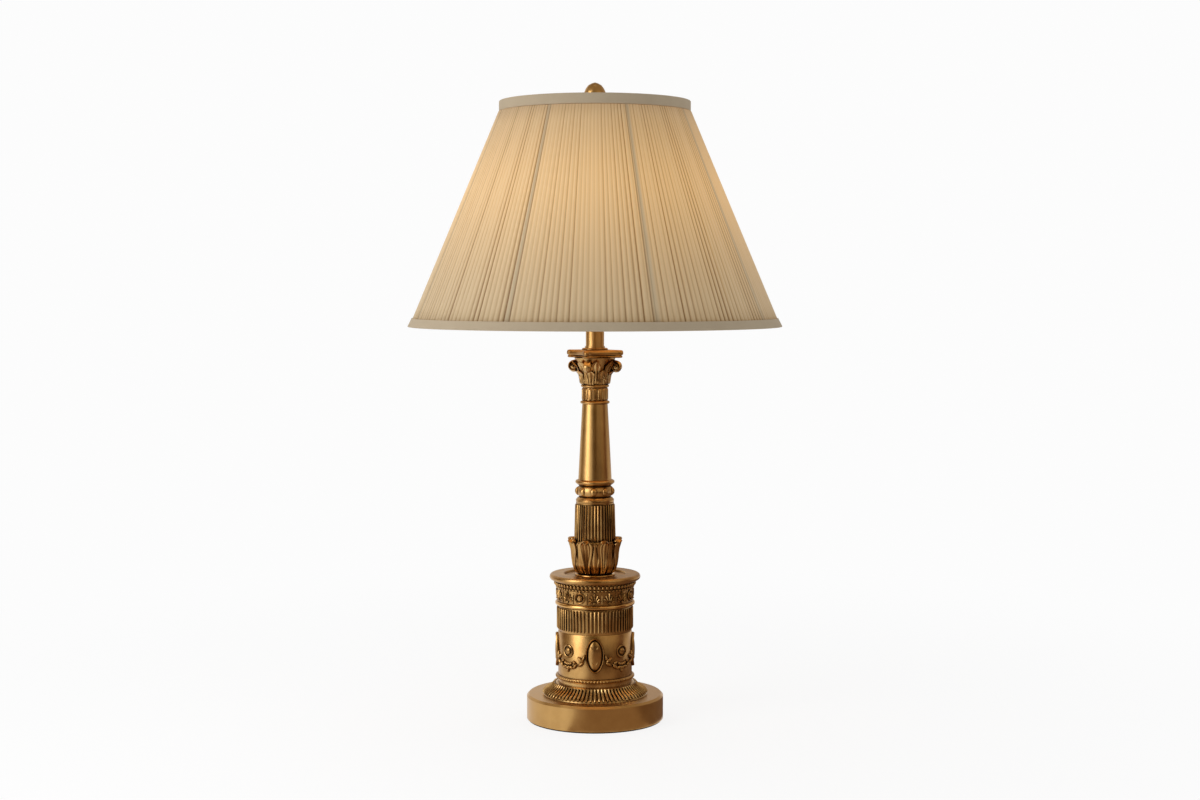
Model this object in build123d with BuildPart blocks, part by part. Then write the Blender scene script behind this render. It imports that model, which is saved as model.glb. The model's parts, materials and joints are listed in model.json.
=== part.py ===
from build123d import *
import math
import os

# Candlestick table lamp: a cast column on a weighted foot, with a harp, a socket and a pleated cone shade.
# Millimetres. +Z is up, the origin is the middle of the face that the lamp stands on, and the column's
# axis is Z. The harp stands in the XZ plane and the switch knob points to -Y, the front.

# ---------------------------------------------------------------- driving dimensions
running_gap = 0.3  # between curved faces of pieces that pass into each other
turning_gap = 0.1  # between a thread or shaft and its hole

felt_thickness = 1.6
felt_inset = 1.5
foot_radius = 75.0
foot_height = 27.0
foot_wall = 2.4
foot_plate = 2.6
foot_edge_chamfer = 2.4
weight_height = 10.5
weight_rim_gap = 2.4
bushing_height = 8.0  # of the cord hole's axis above the table
bushing_radius = 4.0
bushing_bore_radius = 2.7
bushing_flange_radius = 5.6
bushing_flange_thickness = 1.6
bushing_tail = 1.6

pipe_radius = 5.15
pipe_bore_radius = 3.4
pipe_tail = 1.4  # of the pipe below its nut
nut_height = 4.5
nut_flats = 15.0
washer_radius = 15.0
washer_thickness = 1.5

casting_wall = 3.2
ring_edge = 0.3  # of a ring's height that each of its slopes takes
skirt_height = 16.0
skirt_radius = 58.6
skirt_waist_radius = 41.8
gadroon_count = 64
skirt_toe_inset = 1.4  # of the skirt's foot inside its widest line
skirt_flare = [  # the ribs' crests, each as an inset from skirt_radius and a height above the foot
    (0.0, 2.0), (1.6, 4.4), (10.4, 8.6), (13.8, 13.8),
]
skirt_flare_height = 14.7
gadroon_groove_depth = 1.2
gadroon_groove_share = 0.8  # of the pitch that a groove takes
bead_ring_radius = 43.6
bead_ring_height = 6.0
drum_radius = 40.6
drum_height = 48.2
medallion_width = 18.0
medallion_height = 35.0
medallion_lift = 26.6  # of a medallion's middle above the drum's foot
medallion_face_proud = 1.2
medallion_rim_proud = 2.0
medallion_rim = 1.7
rosette_radius = 5.7
rosette_hollow_radius = 4.0
rosette_eye_radius = 2.0
rosette_lift = 29.7
rosette_proud = 1.5
band_radius = 41.7
band_height = 28.3
band_fillet_height = 2.7
band_fillet_inset = 1.6
reed_count = 64
reed_groove_depth = 1.3
reed_groove_share = 0.8  # of the pitch that a groove takes
band_ring_radius = 43.9
band_ring_height = 4.4
frieze_radius = 41.4
frieze_height = 17.4
palmette_count = 16
palmette_proud = 1.2
palmette_height = 11.5
palmette_width = 12.5
cap_radius = 49.9
cap_height = 12.5
cap_rim_height = 5.2
cap_rim_flat = 0.36  # of the rim's height that its upright middle takes
cap_rim_chamfer = 1.7
cap_neck_inset = 4.4  # of the moulding under the rim
cap_neck_height = 3.4
dish_radius = 33.0
dish_depth = 2.0
dish_plate = 3.0
dish_edge = 1.5  # that the dish's wall slopes in

cup_lip_radius = 28.0
cup_height = 41.5
cup_edge = [  # the leaves' outside, each as a share of cup_lip_radius and of the cup's height
    (0.607, 0.0), (0.607, 0.08), (0.846, 0.30), (0.893, 0.55), (0.959, 0.78), (1.0, 0.90), (0.964, 0.98),
]
cup_mouth_chamfer = 1.0
cup_floor_height = 24.0
leaf_count = 8
leaf_gap_width = 9.0
leaf_gap_depth = 15.0
leaf_gap_floor = 0.2  # of a gap's bottom outside the cup's mouth
sleeve_foot_radius = 22.6
sleeve_head_radius = 21.0
sleeve_height = 56.0
sleeve_wall = 8.0
sleeve_reed_count = 40
sleeve_groove_depth = 1.4
sleeve_groove_margin = 2.5
sleeve_groove_hidden = 6.0  # of each groove's foot, inside the leaf cup
sleeve_groove_share = 0.84  # of the pitch that a groove takes
knop_radius = 21.3
knop_neck_radius = 19.7
knop_height = 25.5
knop_fillet_rise = 0.17  # of the knop's height, for the plain band at its foot
knop_neck_rise = 0.22
knop_swell_rise = 0.34
knop_ring_rise = 0.84
knop_ring_top_rise = 0.95
boss_count = 9
boss_width = 7.6
boss_height = 9.6
boss_proud = 1.0
boss_turn = -4.0  # of the first boss from the front, towards +X
shaft_foot_radius = 18.3
shaft_head_radius = 13.9
shaft_height = 82.5
shaft_bore_radius = 9.5
necking_ring_radius = 16.1
necking_radius = 14.4
necking_height = 22.0
necking_ring_height = 3.8
tongue_count = 16
tongue_groove_depth = 0.9
astragal_height = 4.2
astragal_proud = 0.9
bell_foot_radius = 14.6
bell_head_radius = 20.5
bell_height = 28.6
bell_leaf_count = 8
bell_leaf_height = 13.0
bell_leaf_proud = 3.6
bell_leaf_thickness = 1.2
bell_leaf_foot_width = 7.8
bell_leaf_width = 9.4
bell_sides = 24
volute_offset = 24.3  # of a volute's eye from the column's axis
volute_radius = 6.6
volute_width = 7.0
volute_web_width = 5.2  # of the plain disc between the two scrolls
volute_lift = 19.0  # of a volute's eye above the bell's foot
volute_band = 1.6  # width of the scroll where it starts
volute_band_end = 1.0
volute_pitch = 2.6
volute_turns = 1.5
volute_steps = 14  # facets in one turn
volute_eye_radius = 1.3
volute_start = 120.0  # of the scroll's outer end, counted up from straight out
volute_turn = -18.0  # of the first volute from the front, towards +X
abacus_corner_radius = 31.3
abacus_corner_width = 6.0
abacus_waist = 20.0
abacus_height = 8.4
abacus_step = 2.0
abacus_step_inset = 1.8
abacus_boss_radius = 14.0
abacus_boss_height = 2.0
neck_collar_radius = 10.9
neck_collar_height = 2.0
neck_radius = 9.95
neck_wall = 0.9
neck_length = 27.0

saddle_thickness = 1.6
saddle_pad_radius = 10.0
saddle_width = 6.0
harp_leg_x = 32.7
harp_rod_radius = 1.8
harp_leg_height = 30.0
harp_belly_x = 56.0
harp_belly_height = 66.0
harp_shoulder_drop = 58.0
harp_shoulder_x = 27.0
harp_height = 219.5
harp_bends = (34, 50, 70, 32)  # radii, from the leg up to the top
ear_height = 11.0
ear_gap = 0.5
ferrule_height = 16.0
ferrule_wall = 0.8
ferrule_corner_radius = 1.4
stud_radius = 3.1
stud_length = 13.6
stud_plate = 3.0
stud_base_length = 12.0
stud_base_width = 9.0

socket_cap_height = 14.0
socket_cap_wall = 0.9
cap_foot_chamfer = 3.0
socket_shell_radius = 16.4
socket_shell_wall = 0.6
socket_shell_rise = 4.0  # of the shell's rim above the screw shell's
socket_shell_lift = 9.0  # of the shell's insides above the saddle
socket_shell_drop = 0.7  # of the shell's foot below its insides
liner_tube_wall = 0.7
liner_tube_rise = 1.5
socket_body_height = 15.0
pipe_reach = 7.0  # of the pipe into the socket cap
screw_shell_radius = 13.8
screw_shell_wall = 0.5
contact_width = 5.0
contact_height = 2.6
contact_thickness = 0.6
contact_reach = 6.0  # of the strip to each side
contact_foot = 3.0  # of the strip's riveted end
contact_slope = 1.0
switch_shaft_radius = 1.6
switch_hole_radius = 2.2
switch_lift = 18.5  # of the knob's axis above the saddle
switch_reach = 24.0
switch_depth = 7.0
knob_radius = 5.2
knob_length = 10.0
knob_flute_count = 12
knob_flute_radius = 1.1
knob_flute_offset = 0.5  # of a flute's middle outside the knob

bulb_base_radius = 13.0
bulb_base_height = 25.0
bulb_base_taper = 3.0
bulb_base_taper_height = 4.0
bulb_seat_gap = 1.0  # between the screw shell's rim and the glass
bulb_tip_radius = 4.8
bulb_tip_height = 2.0
bulb_neck_radius = 13.6
bulb_radius = 30.0
bulb_glass_height = 82.0
bulb_glass_wall = 0.9
bulb_throat_height = 9.0  # of the glass's narrow part above the base
bulb_throat_flare = 0.6

shade_height = 243.0
shade_top_radius = 99.6
shade_bottom_radius = 201.6
shade_recess = 10.0  # of the spider's washer below the shade's top
pleat_count = 180
pleat_depth = 0.011  # as a share of the pleat's own radius
cloth_thickness = 0.6
top_trim_height = 11.5
top_trim_inset = 0.75  # of the upright top trim inside the cover's ridges, where it meets them
top_trim_lip = 2.0
bottom_trim_height = 9.2
bottom_trim_proud = 1.6
trim_inset = 2.2
rib_count = 8
rib_radius = 1.3
rib_turn = 18.5  # of the first rib from the front, towards +X
ring_size = 2.6
ring_lift = 0.7  # of the bottom ring above the shade's lower edge
lining_thickness = 0.8
spider_washer_rim = 1.8  # of the washer beyond the finial's foot
spider_thickness = 1.6
spoke_count = 3
spoke_width = 5.0
spoke_root = 1.2  # of a spoke inside the washer's edge
spoke_turn = 60.0  # of the first spoke from the front, towards +X

finial_foot_radius = 8.0
finial_lip_radius = 13.6
finial_shape = [  # shares of finial_lip_radius and of the finial's height, above its foot
    (0.588, 0.065), (0.471, 0.13), (0.956, 0.295), (1.0, 0.395), (0.94, 0.62), (0.80, 0.78), (0.56, 0.93),
    (0.12, 1.0),
]
finial_sides = 20
finial_bore_end = 1.0  # of the stud's hole beyond the stud
finial_height = 30.6

# ---------------------------------------------------------------- heights, worked out upwards
front = -90.0  # the direction of -Y about Z
foot_bottom = felt_thickness
foot_top = foot_bottom + foot_height
skirt_top = foot_top + skirt_height
bead_ring_top = skirt_top + bead_ring_height
drum_top = bead_ring_top + drum_height
band_top = drum_top + band_height
band_ring_top = band_top + band_ring_height
frieze_top = band_ring_top + frieze_height
cap_top = frieze_top + cap_height
dish_floor = cap_top - dish_depth
cup_top = dish_floor + cup_height
sleeve_bottom = dish_floor + cup_floor_height
sleeve_top = sleeve_bottom + sleeve_height
knop_top = sleeve_top + knop_height
shaft_top = knop_top + shaft_height
necking_top = shaft_top + necking_height
bell_top = necking_top + bell_height
abacus_top = bell_top + abacus_height
boss_top = abacus_top + abacus_boss_height
neck_collar_top = boss_top + neck_collar_height
neck_top = neck_collar_top + neck_length
saddle_top = neck_top + saddle_thickness
harp_top = saddle_top + harp_height
stud_base_top = harp_top + harp_rod_radius + stud_plate
washer_top = stud_base_top + spider_thickness
shade_top = washer_top + shade_recess
shade_bottom = shade_top - shade_height
cover_top = shade_top - top_trim_height
cover_bottom = shade_bottom + bottom_trim_height
pipe_hole_radius = pipe_radius + running_gap
weight_top = foot_top - foot_plate
weight_bottom = weight_top - weight_height
washer_bottom = weight_bottom - washer_thickness
nut_bottom = washer_bottom - nut_height
pipe_bottom = nut_bottom - pipe_tail
pipe_top = saddle_top + pipe_reach
shell_bottom = saddle_top + socket_shell_lift
body_top = shell_bottom + socket_body_height
bulb_tip_bottom = body_top + contact_height + running_gap
base_bottom = bulb_tip_bottom + bulb_tip_height
base_top = base_bottom + bulb_base_height
glass_top = base_top + bulb_glass_height
globe_middle = glass_top - bulb_radius
screw_shell_top = base_top - bulb_seat_gap
shell_top = screw_shell_top + socket_shell_rise
switch_height = saddle_top + switch_lift
shade_slope = (shade_bottom_radius - shade_top_radius) / shade_height
top_trim_radius = shade_top_radius + top_trim_height * shade_slope - top_trim_inset


# ---------------------------------------------------------------- forms used more than once
def outline(*points):
    """A closed outline of (radius, height) points in the XZ plane, ready to be turned about Z."""
    with BuildSketch(Plane.XZ) as sketch:
        with BuildLine():
            Polyline(*points, close=True)
        make_face()
    return sketch.sketch


def groove_cutter(surface, deep, outside, half_angle):
    """A wedge-shaped groove that follows a turned surface, cut deepest in the plane y = 0.

    surface and deep are matching lists of (radius, height) points, outside is a radius clear of the piece.
    """
    top, bottom = surface[-1][1], surface[0][1]
    sections = []
    for angle, line in ((-half_angle, surface), (0, deep), (half_angle, surface)):
        with BuildSketch(Plane.XZ.rotated((0, 0, angle))) as section:
            with BuildLine():
                Polyline(*line, (outside, top), (outside, bottom), close=True)
            make_face()
        sections.append(section.sketch.face())
    with BuildPart() as cutter:
        loft(sections, ruled=True)
    return cutter.part


def relief(sketch, height, low_radius, high_radius):
    """An ornament that stands on a drum: sketch, drawn as seen from outside, between two radii about Z."""
    seat = Plane(origin=(low_radius, 0, height), x_dir=(0, 1, 0), z_dir=(1, 0, 0))
    with BuildPart() as ornament:
        with BuildSketch(Plane.XY.offset(height - high_radius)):
            Circle(high_radius)
        extrude(amount=2 * high_radius)
        extrude(seat * sketch, amount=2 * (high_radius - low_radius), mode=Mode.INTERSECT)
    return ornament.part


def faceted(profile, sides):
    """A solid of flat facets about Z, from the (radius, height) points of its edge, lowest first."""
    mirrored = [(-radius, height) for radius, height in reversed(profile)]
    reach = 2 * max(radius for radius, height in profile)
    solid = None
    for turn in range(sides // 2):
        slab = extrude(outline(*profile, *mirrored), amount=reach, both=True)
        slab = slab.rotate(Axis.Z, 360 * turn / sides)
        solid = slab if solid is None else solid & slab
    return solid


def lens(width, height):
    """A pointed oval, upright."""
    with BuildSketch() as sketch:
        with BuildLine():
            ThreePointArc((0, -height / 2), (width / 2, 0), (0, height / 2))
            ThreePointArc((0, height / 2), (-width / 2, 0), (0, -height / 2))
        make_face()
    return sketch.sketch


def cover_line(height):
    """The radius of the pleats' ridges at a height."""
    return shade_top_radius + (shade_top - height) * shade_slope


def cover_inside(height):
    """The radius of the cover's inner face at a height."""
    return cover_line(height) * (1 - pleat_depth) - cloth_thickness


def rib_line(height):
    """The distance of a rib's middle from the axis at a height."""
    return cover_inside(height) - running_gap - rib_radius


def lining_line(height):
    """The radius of the lining's outer face at a height."""
    return rib_line(height) - rib_radius - running_gap


# ---------------------------------------------------------------- foot
with BuildPart() as felt_pad:
    with BuildSketch():
        Circle(foot_radius - felt_inset)
    extrude(amount=felt_thickness)
felt_pad.part.label = "felt_pad"

# a turned shell, open below, with the cord's hole in its rear wall
wall_inside = foot_radius - foot_wall
rear_plane = Plane(origin=(0, 0, bushing_height), x_dir=(1, 0, 0), z_dir=(0, 1, 0))
with BuildPart() as foot_disc:
    with BuildSketch(Plane.XZ) as foot_section:
        with BuildLine():
            Polyline(
                (pipe_hole_radius, weight_top),
                (pipe_hole_radius, foot_top),
                (foot_radius, foot_top),
                (foot_radius, foot_bottom),
                (wall_inside, foot_bottom),
                (wall_inside, weight_top),
                close=True,
            )
        make_face()
        chamfer(foot_section.vertices().group_by(Axis.X)[-1].sort_by(Axis.Y)[-1], foot_edge_chamfer)
    revolve(axis=Axis.Z)
    with BuildSketch(rear_plane):
        Circle(bushing_radius + running_gap)
    extrude(amount=2 * foot_radius, mode=Mode.SUBTRACT)
foot_disc.part.label = "foot_disc"

with BuildPart() as foot_weight:
    with BuildSketch(Plane.XY.offset(weight_bottom)):
        Circle(wall_inside - weight_rim_gap)
        Circle(pipe_hole_radius, mode=Mode.SUBTRACT)
    extrude(amount=weight_height)
foot_weight.part.label = "foot_weight"

# its body fills the hole in the wall and its flange lies against the outside
flange_plane = rear_plane.offset(foot_radius)
with BuildPart() as cord_bushing:
    with BuildSketch(rear_plane.offset(foot_radius - foot_wall - bushing_tail)):
        Circle(bushing_radius)
    extrude(amount=foot_wall + bushing_tail)
    with BuildSketch(flange_plane):
        Circle(bushing_flange_radius)
    extrude(amount=bushing_flange_thickness)
    with BuildSketch(rear_plane):
        Circle(bushing_bore_radius)
    extrude(amount=2 * foot_radius, mode=Mode.SUBTRACT)
cord_bushing.part.label = "cord_bushing"

with BuildPart() as pipe_washer:
    with BuildSketch(Plane.XY.offset(washer_bottom)):
        Circle(washer_radius)
        Circle(pipe_hole_radius, mode=Mode.SUBTRACT)
    extrude(amount=washer_thickness)
pipe_washer.part.label = "pipe_washer"

with BuildPart() as pipe_nut:
    with BuildSketch(Plane.XY.offset(nut_bottom)):
        RegularPolygon(nut_flats / 2, 6, major_radius=False)
        Circle(pipe_radius + turning_gap, mode=Mode.SUBTRACT)
    extrude(amount=nut_height)
pipe_nut.part.label = "pipe_nut"

with BuildPart() as lamp_pipe:
    with BuildSketch(Plane.XY.offset(pipe_bottom)):
        Circle(pipe_radius)
        Circle(pipe_bore_radius, mode=Mode.SUBTRACT)
    extrude(amount=pipe_top - pipe_bottom)
lamp_pipe.part.label = "lamp_pipe"

# ---------------------------------------------------------------- pedestal
# a concave flare whose radial ribs have rounded outer ends
skirt_bore = skirt_waist_radius - casting_wall
flare = [(skirt_radius - inset, foot_top + height) for inset, height in skirt_flare]
flare_deep = [(radius - gadroon_groove_depth, height - gadroon_groove_depth) for radius, height in flare]
gadroon_groove = groove_cutter(
    flare, flare_deep, 2 * skirt_radius, gadroon_groove_share * 180 / gadroon_count
)
with BuildPart() as gadroon_skirt:
    revolve(
        outline(
            (skirt_bore, foot_top),
            (skirt_radius - skirt_toe_inset, foot_top),
            *flare,
            (skirt_waist_radius, foot_top + skirt_flare_height),
            (skirt_waist_radius, skirt_top),
            (skirt_bore, skirt_top),
        ),
        axis=Axis.Z,
    )
    with PolarLocations(0, gadroon_count):
        add(gadroon_groove, mode=Mode.SUBTRACT)
gadroon_skirt.part.label = "gadroon_skirt"

with BuildPart() as bead_ring:
    revolve(
        outline(
            (skirt_bore, skirt_top),
            (drum_radius, skirt_top),
            (bead_ring_radius, skirt_top + ring_edge * bead_ring_height),
            (bead_ring_radius, bead_ring_top - ring_edge * bead_ring_height),
            (drum_radius, bead_ring_top),
            (skirt_bore, bead_ring_top),
        ),
        axis=Axis.Z,
    )
bead_ring.part.label = "bead_ring"

# a plain drum with four rimmed medallions and four rosettes between them
drum_bore = drum_radius - casting_wall
ornament_seat = drum_radius - casting_wall / 2
medallion_middle = bead_ring_top + medallion_lift
with BuildSketch() as medallion_rim_sketch:
    add(lens(medallion_width, medallion_height))
    add(lens(medallion_width - 2 * medallion_rim, medallion_height - 4 * medallion_rim), mode=Mode.SUBTRACT)
medallion_face = relief(
    lens(medallion_width, medallion_height),
    medallion_middle,
    ornament_seat,
    drum_radius + medallion_face_proud,
)
medallion_border = relief(
    medallion_rim_sketch.sketch, medallion_middle, ornament_seat, drum_radius + medallion_rim_proud
)
with BuildSketch() as rosette_ring_sketch:
    Circle(rosette_radius)
    Circle(rosette_hollow_radius, mode=Mode.SUBTRACT)
with BuildSketch() as rosette_eye_sketch:
    Circle(rosette_eye_radius)
rosette_middle = bead_ring_top + rosette_lift
rosette_parts = [
    relief(part_sketch.sketch, rosette_middle, ornament_seat, drum_radius + rosette_proud)
    for part_sketch in (rosette_ring_sketch, rosette_eye_sketch)
]
with BuildPart() as drum:
    with BuildSketch(Plane.XY.offset(bead_ring_top)):
        Circle(drum_radius)
        Circle(drum_bore, mode=Mode.SUBTRACT)
    extrude(amount=drum_height)
    with PolarLocations(0, 4, start_angle=front):
        add(medallion_face)
        add(medallion_border)
    with PolarLocations(0, 4, start_angle=front + 45):
        add(rosette_parts)
drum.part.label = "drum"


def reeded_sketch(radius, count, depth, height):
    """A disc whose edge is cut into reeds, at a height."""
    half_groove = reed_groove_share * math.pi * radius / count
    with BuildSketch(Plane.XY.offset(height)) as sketch:
        Circle(radius)
        with PolarLocations(radius, count):
            Polygon((-depth, 0), (1, half_groove), (1, -half_groove), align=None, mode=Mode.SUBTRACT)
    return sketch.sketch


with BuildPart() as reeded_band:
    with BuildSketch(Plane.XY.offset(drum_top)):
        Circle(band_radius - band_fillet_inset)
    extrude(amount=band_height)
    add(reeded_sketch(band_radius, reed_count, reed_groove_depth, drum_top + band_fillet_height))
    extrude(amount=band_height - 2 * band_fillet_height)
    with BuildSketch(Plane.XY.offset(drum_top)):
        Circle(drum_bore)
    extrude(amount=band_height, mode=Mode.SUBTRACT)
reeded_band.part.label = "reeded_band"

with BuildPart() as band_ring:
    revolve(
        outline(
            (drum_bore, band_top),
            (band_radius, band_top),
            (band_ring_radius, band_top + ring_edge * band_ring_height),
            (band_ring_radius, band_ring_top - ring_edge * band_ring_height),
            (band_radius, band_ring_top),
            (drum_bore, band_ring_top),
        ),
        axis=Axis.Z,
    )
band_ring.part.label = "band_ring"

# a frieze of upright shell shapes, each a fan on a short stem
with BuildSketch() as palmette_sketch:
    Polygon(
        (0, -palmette_height / 2),
        (palmette_width / 2, 0),
        (palmette_width / 3, palmette_height / 3),
        (0, palmette_height / 2),
        (-palmette_width / 3, palmette_height / 3),
        (-palmette_width / 2, 0),
        align=None,
    )
palmette = relief(
    palmette_sketch.sketch,
    band_ring_top + frieze_height / 2,
    frieze_radius - casting_wall / 2,
    frieze_radius + palmette_proud,
)
with BuildPart() as frieze_band:
    with BuildSketch(Plane.XY.offset(band_ring_top)):
        Circle(frieze_radius)
        Circle(drum_bore, mode=Mode.SUBTRACT)
    extrude(amount=frieze_height)
    with PolarLocations(0, palmette_count, start_angle=front):
        add(palmette)
frieze_band.part.label = "frieze_band"

cap_rim_bottom = cap_top - cap_rim_height
cap_rim_middle = cap_top - cap_rim_height / 2
with BuildPart() as cap_dish:
    revolve(
        outline(
            (drum_bore, frieze_top),
            (frieze_radius + palmette_proud, frieze_top),
            (cap_radius - cap_neck_inset, frieze_top + cap_neck_height),
            (cap_radius - cap_rim_chamfer, cap_rim_bottom),
            (cap_radius, cap_rim_middle - cap_rim_flat * cap_rim_height / 2),
            (cap_radius, cap_rim_middle + cap_rim_flat * cap_rim_height / 2),
            (cap_radius - cap_rim_chamfer, cap_top),
            (dish_radius + dish_edge, cap_top),
            (dish_radius, dish_floor),
            (pipe_hole_radius, dish_floor),
            (pipe_hole_radius, dish_floor - dish_plate),
            (drum_bore, dish_floor - dish_plate),
        ),
        axis=Axis.Z,
    )
cap_dish.part.label = "cap_dish"

# ---------------------------------------------------------------- column
# a bowl of eight leaves whose tips curl outwards, with a pointed gap between each two
cup_mouth = sleeve_foot_radius + running_gap
gap_prism_length = cup_lip_radius
with BuildPart() as leaf_cup:
    revolve(
        outline(
            (pipe_hole_radius, dish_floor),
            *[(cup_lip_radius * share, dish_floor + cup_height * rise) for share, rise in cup_edge],
            (cup_mouth + cup_mouth_chamfer, cup_top),
            (cup_mouth, cup_top - 2 * cup_mouth_chamfer),
            (cup_mouth, sleeve_bottom),
            (pipe_hole_radius, sleeve_bottom),
        ),
        axis=Axis.Z,
    )
    with PolarLocations(0, leaf_count, start_angle=front):
        with BuildSketch(Plane.YZ.offset(cup_mouth + leaf_gap_floor)):
            with BuildLine():
                Polyline(
                    (0, cup_top - leaf_gap_depth),
                    (leaf_gap_width / 2, cup_top + 1),
                    (-leaf_gap_width / 2, cup_top + 1),
                    close=True,
                )
            make_face()
    extrude(amount=gap_prism_length, mode=Mode.SUBTRACT)
leaf_cup.part.label = "leaf_cup"

sleeve_groove_low = cup_top - sleeve_groove_hidden
sleeve_groove_high = sleeve_top - sleeve_groove_margin


def sleeve_line(height):
    """The radius of the reeded sleeve at a height."""
    share = (height - sleeve_bottom) / sleeve_height
    return sleeve_foot_radius + (sleeve_head_radius - sleeve_foot_radius) * share


sleeve_surface = [(sleeve_line(height) + 0.05, height) for height in (sleeve_groove_low, sleeve_groove_high)]
sleeve_deep = [(radius - sleeve_groove_depth, height) for radius, height in sleeve_surface]
sleeve_groove = groove_cutter(
    sleeve_surface, sleeve_deep, sleeve_foot_radius + 5, sleeve_groove_share * 180 / sleeve_reed_count
)
with BuildPart() as reeded_sleeve:
    revolve(
        outline(
            (sleeve_foot_radius - sleeve_wall, sleeve_bottom),
            (sleeve_foot_radius, sleeve_bottom),
            (sleeve_head_radius, sleeve_top),
            (sleeve_foot_radius - sleeve_wall, sleeve_top),
        ),
        axis=Axis.Z,
    )
    with PolarLocations(0, sleeve_reed_count):
        add(sleeve_groove, mode=Mode.SUBTRACT)
reeded_sleeve.part.label = "reeded_sleeve"

# a swollen ring between two small ones, with oval bosses round its middle
knop_middle = sleeve_top + 0.5 * knop_height
with BuildSketch() as boss_sketch:
    Polygon(
        (0, -boss_height / 2),
        (boss_width / 2, -boss_height / 6),
        (boss_width / 2, boss_height / 6),
        (0, boss_height / 2),
        (-boss_width / 2, boss_height / 6),
        (-boss_width / 2, -boss_height / 6),
        align=None,
    )
knop_boss = relief(boss_sketch.sketch, knop_middle, knop_neck_radius - boss_proud, knop_radius + boss_proud)
with BuildPart() as knop:
    revolve(
        outline(
            (shaft_bore_radius, sleeve_top),
            (sleeve_head_radius, sleeve_top),
            (sleeve_head_radius, sleeve_top + knop_fillet_rise * knop_height),
            (knop_neck_radius, sleeve_top + knop_neck_rise * knop_height),
            (knop_radius, sleeve_top + knop_swell_rise * knop_height),
            (knop_radius, knop_top - knop_swell_rise * knop_height),
            (knop_neck_radius, knop_top - knop_neck_rise * knop_height),
            (knop_radius, sleeve_top + knop_ring_rise * knop_height),
            (knop_radius, sleeve_top + knop_ring_top_rise * knop_height),
            (shaft_foot_radius, knop_top),
            (shaft_bore_radius, knop_top),
        ),
        axis=Axis.Z,
    )
    with PolarLocations(0, boss_count, start_angle=front + boss_turn):
        add(knop_boss)
knop.part.label = "knop"

with BuildPart() as tapered_shaft:
    revolve(
        outline(
            (shaft_bore_radius, knop_top),
            (shaft_foot_radius, knop_top),
            (shaft_head_radius, shaft_top),
            (shaft_bore_radius, shaft_top),
        ),
        axis=Axis.Z,
    )
tapered_shaft.part.label = "tapered_shaft"

tongue_bottom = shaft_top + necking_ring_height
astragal_bottom = necking_top - astragal_height
with BuildPart() as necking_collar:
    add(reeded_sketch(necking_radius, tongue_count, tongue_groove_depth, tongue_bottom))
    extrude(amount=astragal_bottom - tongue_bottom)
    revolve(
        outline(
            (0, shaft_top),
            (shaft_head_radius, shaft_top),
            (necking_ring_radius, shaft_top + ring_edge * necking_ring_height),
            (necking_ring_radius, tongue_bottom - ring_edge * necking_ring_height),
            (necking_radius, tongue_bottom),
            (0, tongue_bottom),
        ),
        axis=Axis.Z,
    )
    revolve(
        outline(
            (0, astragal_bottom),
            (necking_radius, astragal_bottom),
            (necking_radius + astragal_proud, astragal_bottom + ring_edge * astragal_height),
            (necking_radius + astragal_proud, necking_top - ring_edge * astragal_height),
            (bell_foot_radius, necking_top),
            (0, necking_top),
        ),
        axis=Axis.Z,
    )
    with BuildSketch(Plane.XY.offset(shaft_top)):
        Circle(shaft_bore_radius)
    extrude(amount=necking_height, mode=Mode.SUBTRACT)
necking_collar.part.label = "necking_collar"

# one corner scroll, drawn on the plane that holds its radius and Z: a band that winds inwards round an eye
volute_plane = Plane(
    origin=(volute_offset, 0, necking_top + volute_lift), x_dir=(1, 0, 0), z_dir=(0, -1, 0)
)
stalk_root = bell_foot_radius - volute_offset
stalk_head = bell_top - necking_top - volute_lift
stalk_edge = 0.3 * volute_radius
scroll_outside, scroll_inside = [], []
for step in range(round(volute_turns * volute_steps) + 1):
    turn = step / volute_steps
    direction = Vector(1, 0).rotate(Axis.Z, volute_start - 360 * turn)
    outer = volute_radius - volute_pitch * turn
    band = volute_band + (volute_band_end - volute_band) * turn / volute_turns
    scroll_outside.append(direction * outer)
    scroll_inside.append(direction * (outer - band))
with BuildPart() as volute:
    with BuildSketch(volute_plane):
        RegularPolygon(volute_radius - volute_band / 2, volute_steps)
        Polygon(
            (stalk_root, stalk_head),
            (stalk_edge, stalk_head),
            (stalk_edge, 0),
            (-volute_radius / 2, -volute_radius / 2),
            (stalk_root, -volute_radius),
            align=None,
        )
    extrude(amount=volute_web_width / 2, both=True)
    with BuildSketch(volute_plane):
        Polygon(*scroll_outside, *reversed(scroll_inside), align=None)
        RegularPolygon(volute_eye_radius, 8)
    extrude(amount=volute_width / 2, both=True)

# a pointed leaf that leans outwards against the bell
leaf_plane = Plane(
    origin=(bell_foot_radius, 0, necking_top), x_dir=(0, 1, 0), z_dir=(bell_leaf_height, 0, -bell_leaf_proud)
)
with BuildPart() as bell_leaf:
    with BuildSketch(leaf_plane.offset(-bell_leaf_thickness)):
        Polygon(
            (-bell_leaf_foot_width / 2, 0),
            (bell_leaf_foot_width / 2, 0),
            (bell_leaf_width / 2, 0.6 * bell_leaf_height),
            (0, bell_leaf_height),
            (-bell_leaf_width / 2, 0.6 * bell_leaf_height),
            align=None,
        )
    extrude(amount=2 * bell_leaf_thickness)

bell = faceted([(bell_foot_radius, necking_top), (bell_head_radius, bell_top)], bell_sides)
with BuildPart() as capital:
    add(bell)
    with PolarLocations(0, bell_leaf_count, start_angle=front + volute_turn):
        add(bell_leaf.part)
    with PolarLocations(0, 4, start_angle=front + volute_turn):
        add(volute.part)
    with BuildSketch(Plane.XY.offset(necking_top)):
        Circle(shaft_bore_radius)
    extrude(amount=bell_height, mode=Mode.SUBTRACT)
capital.part.label = "capital"


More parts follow.
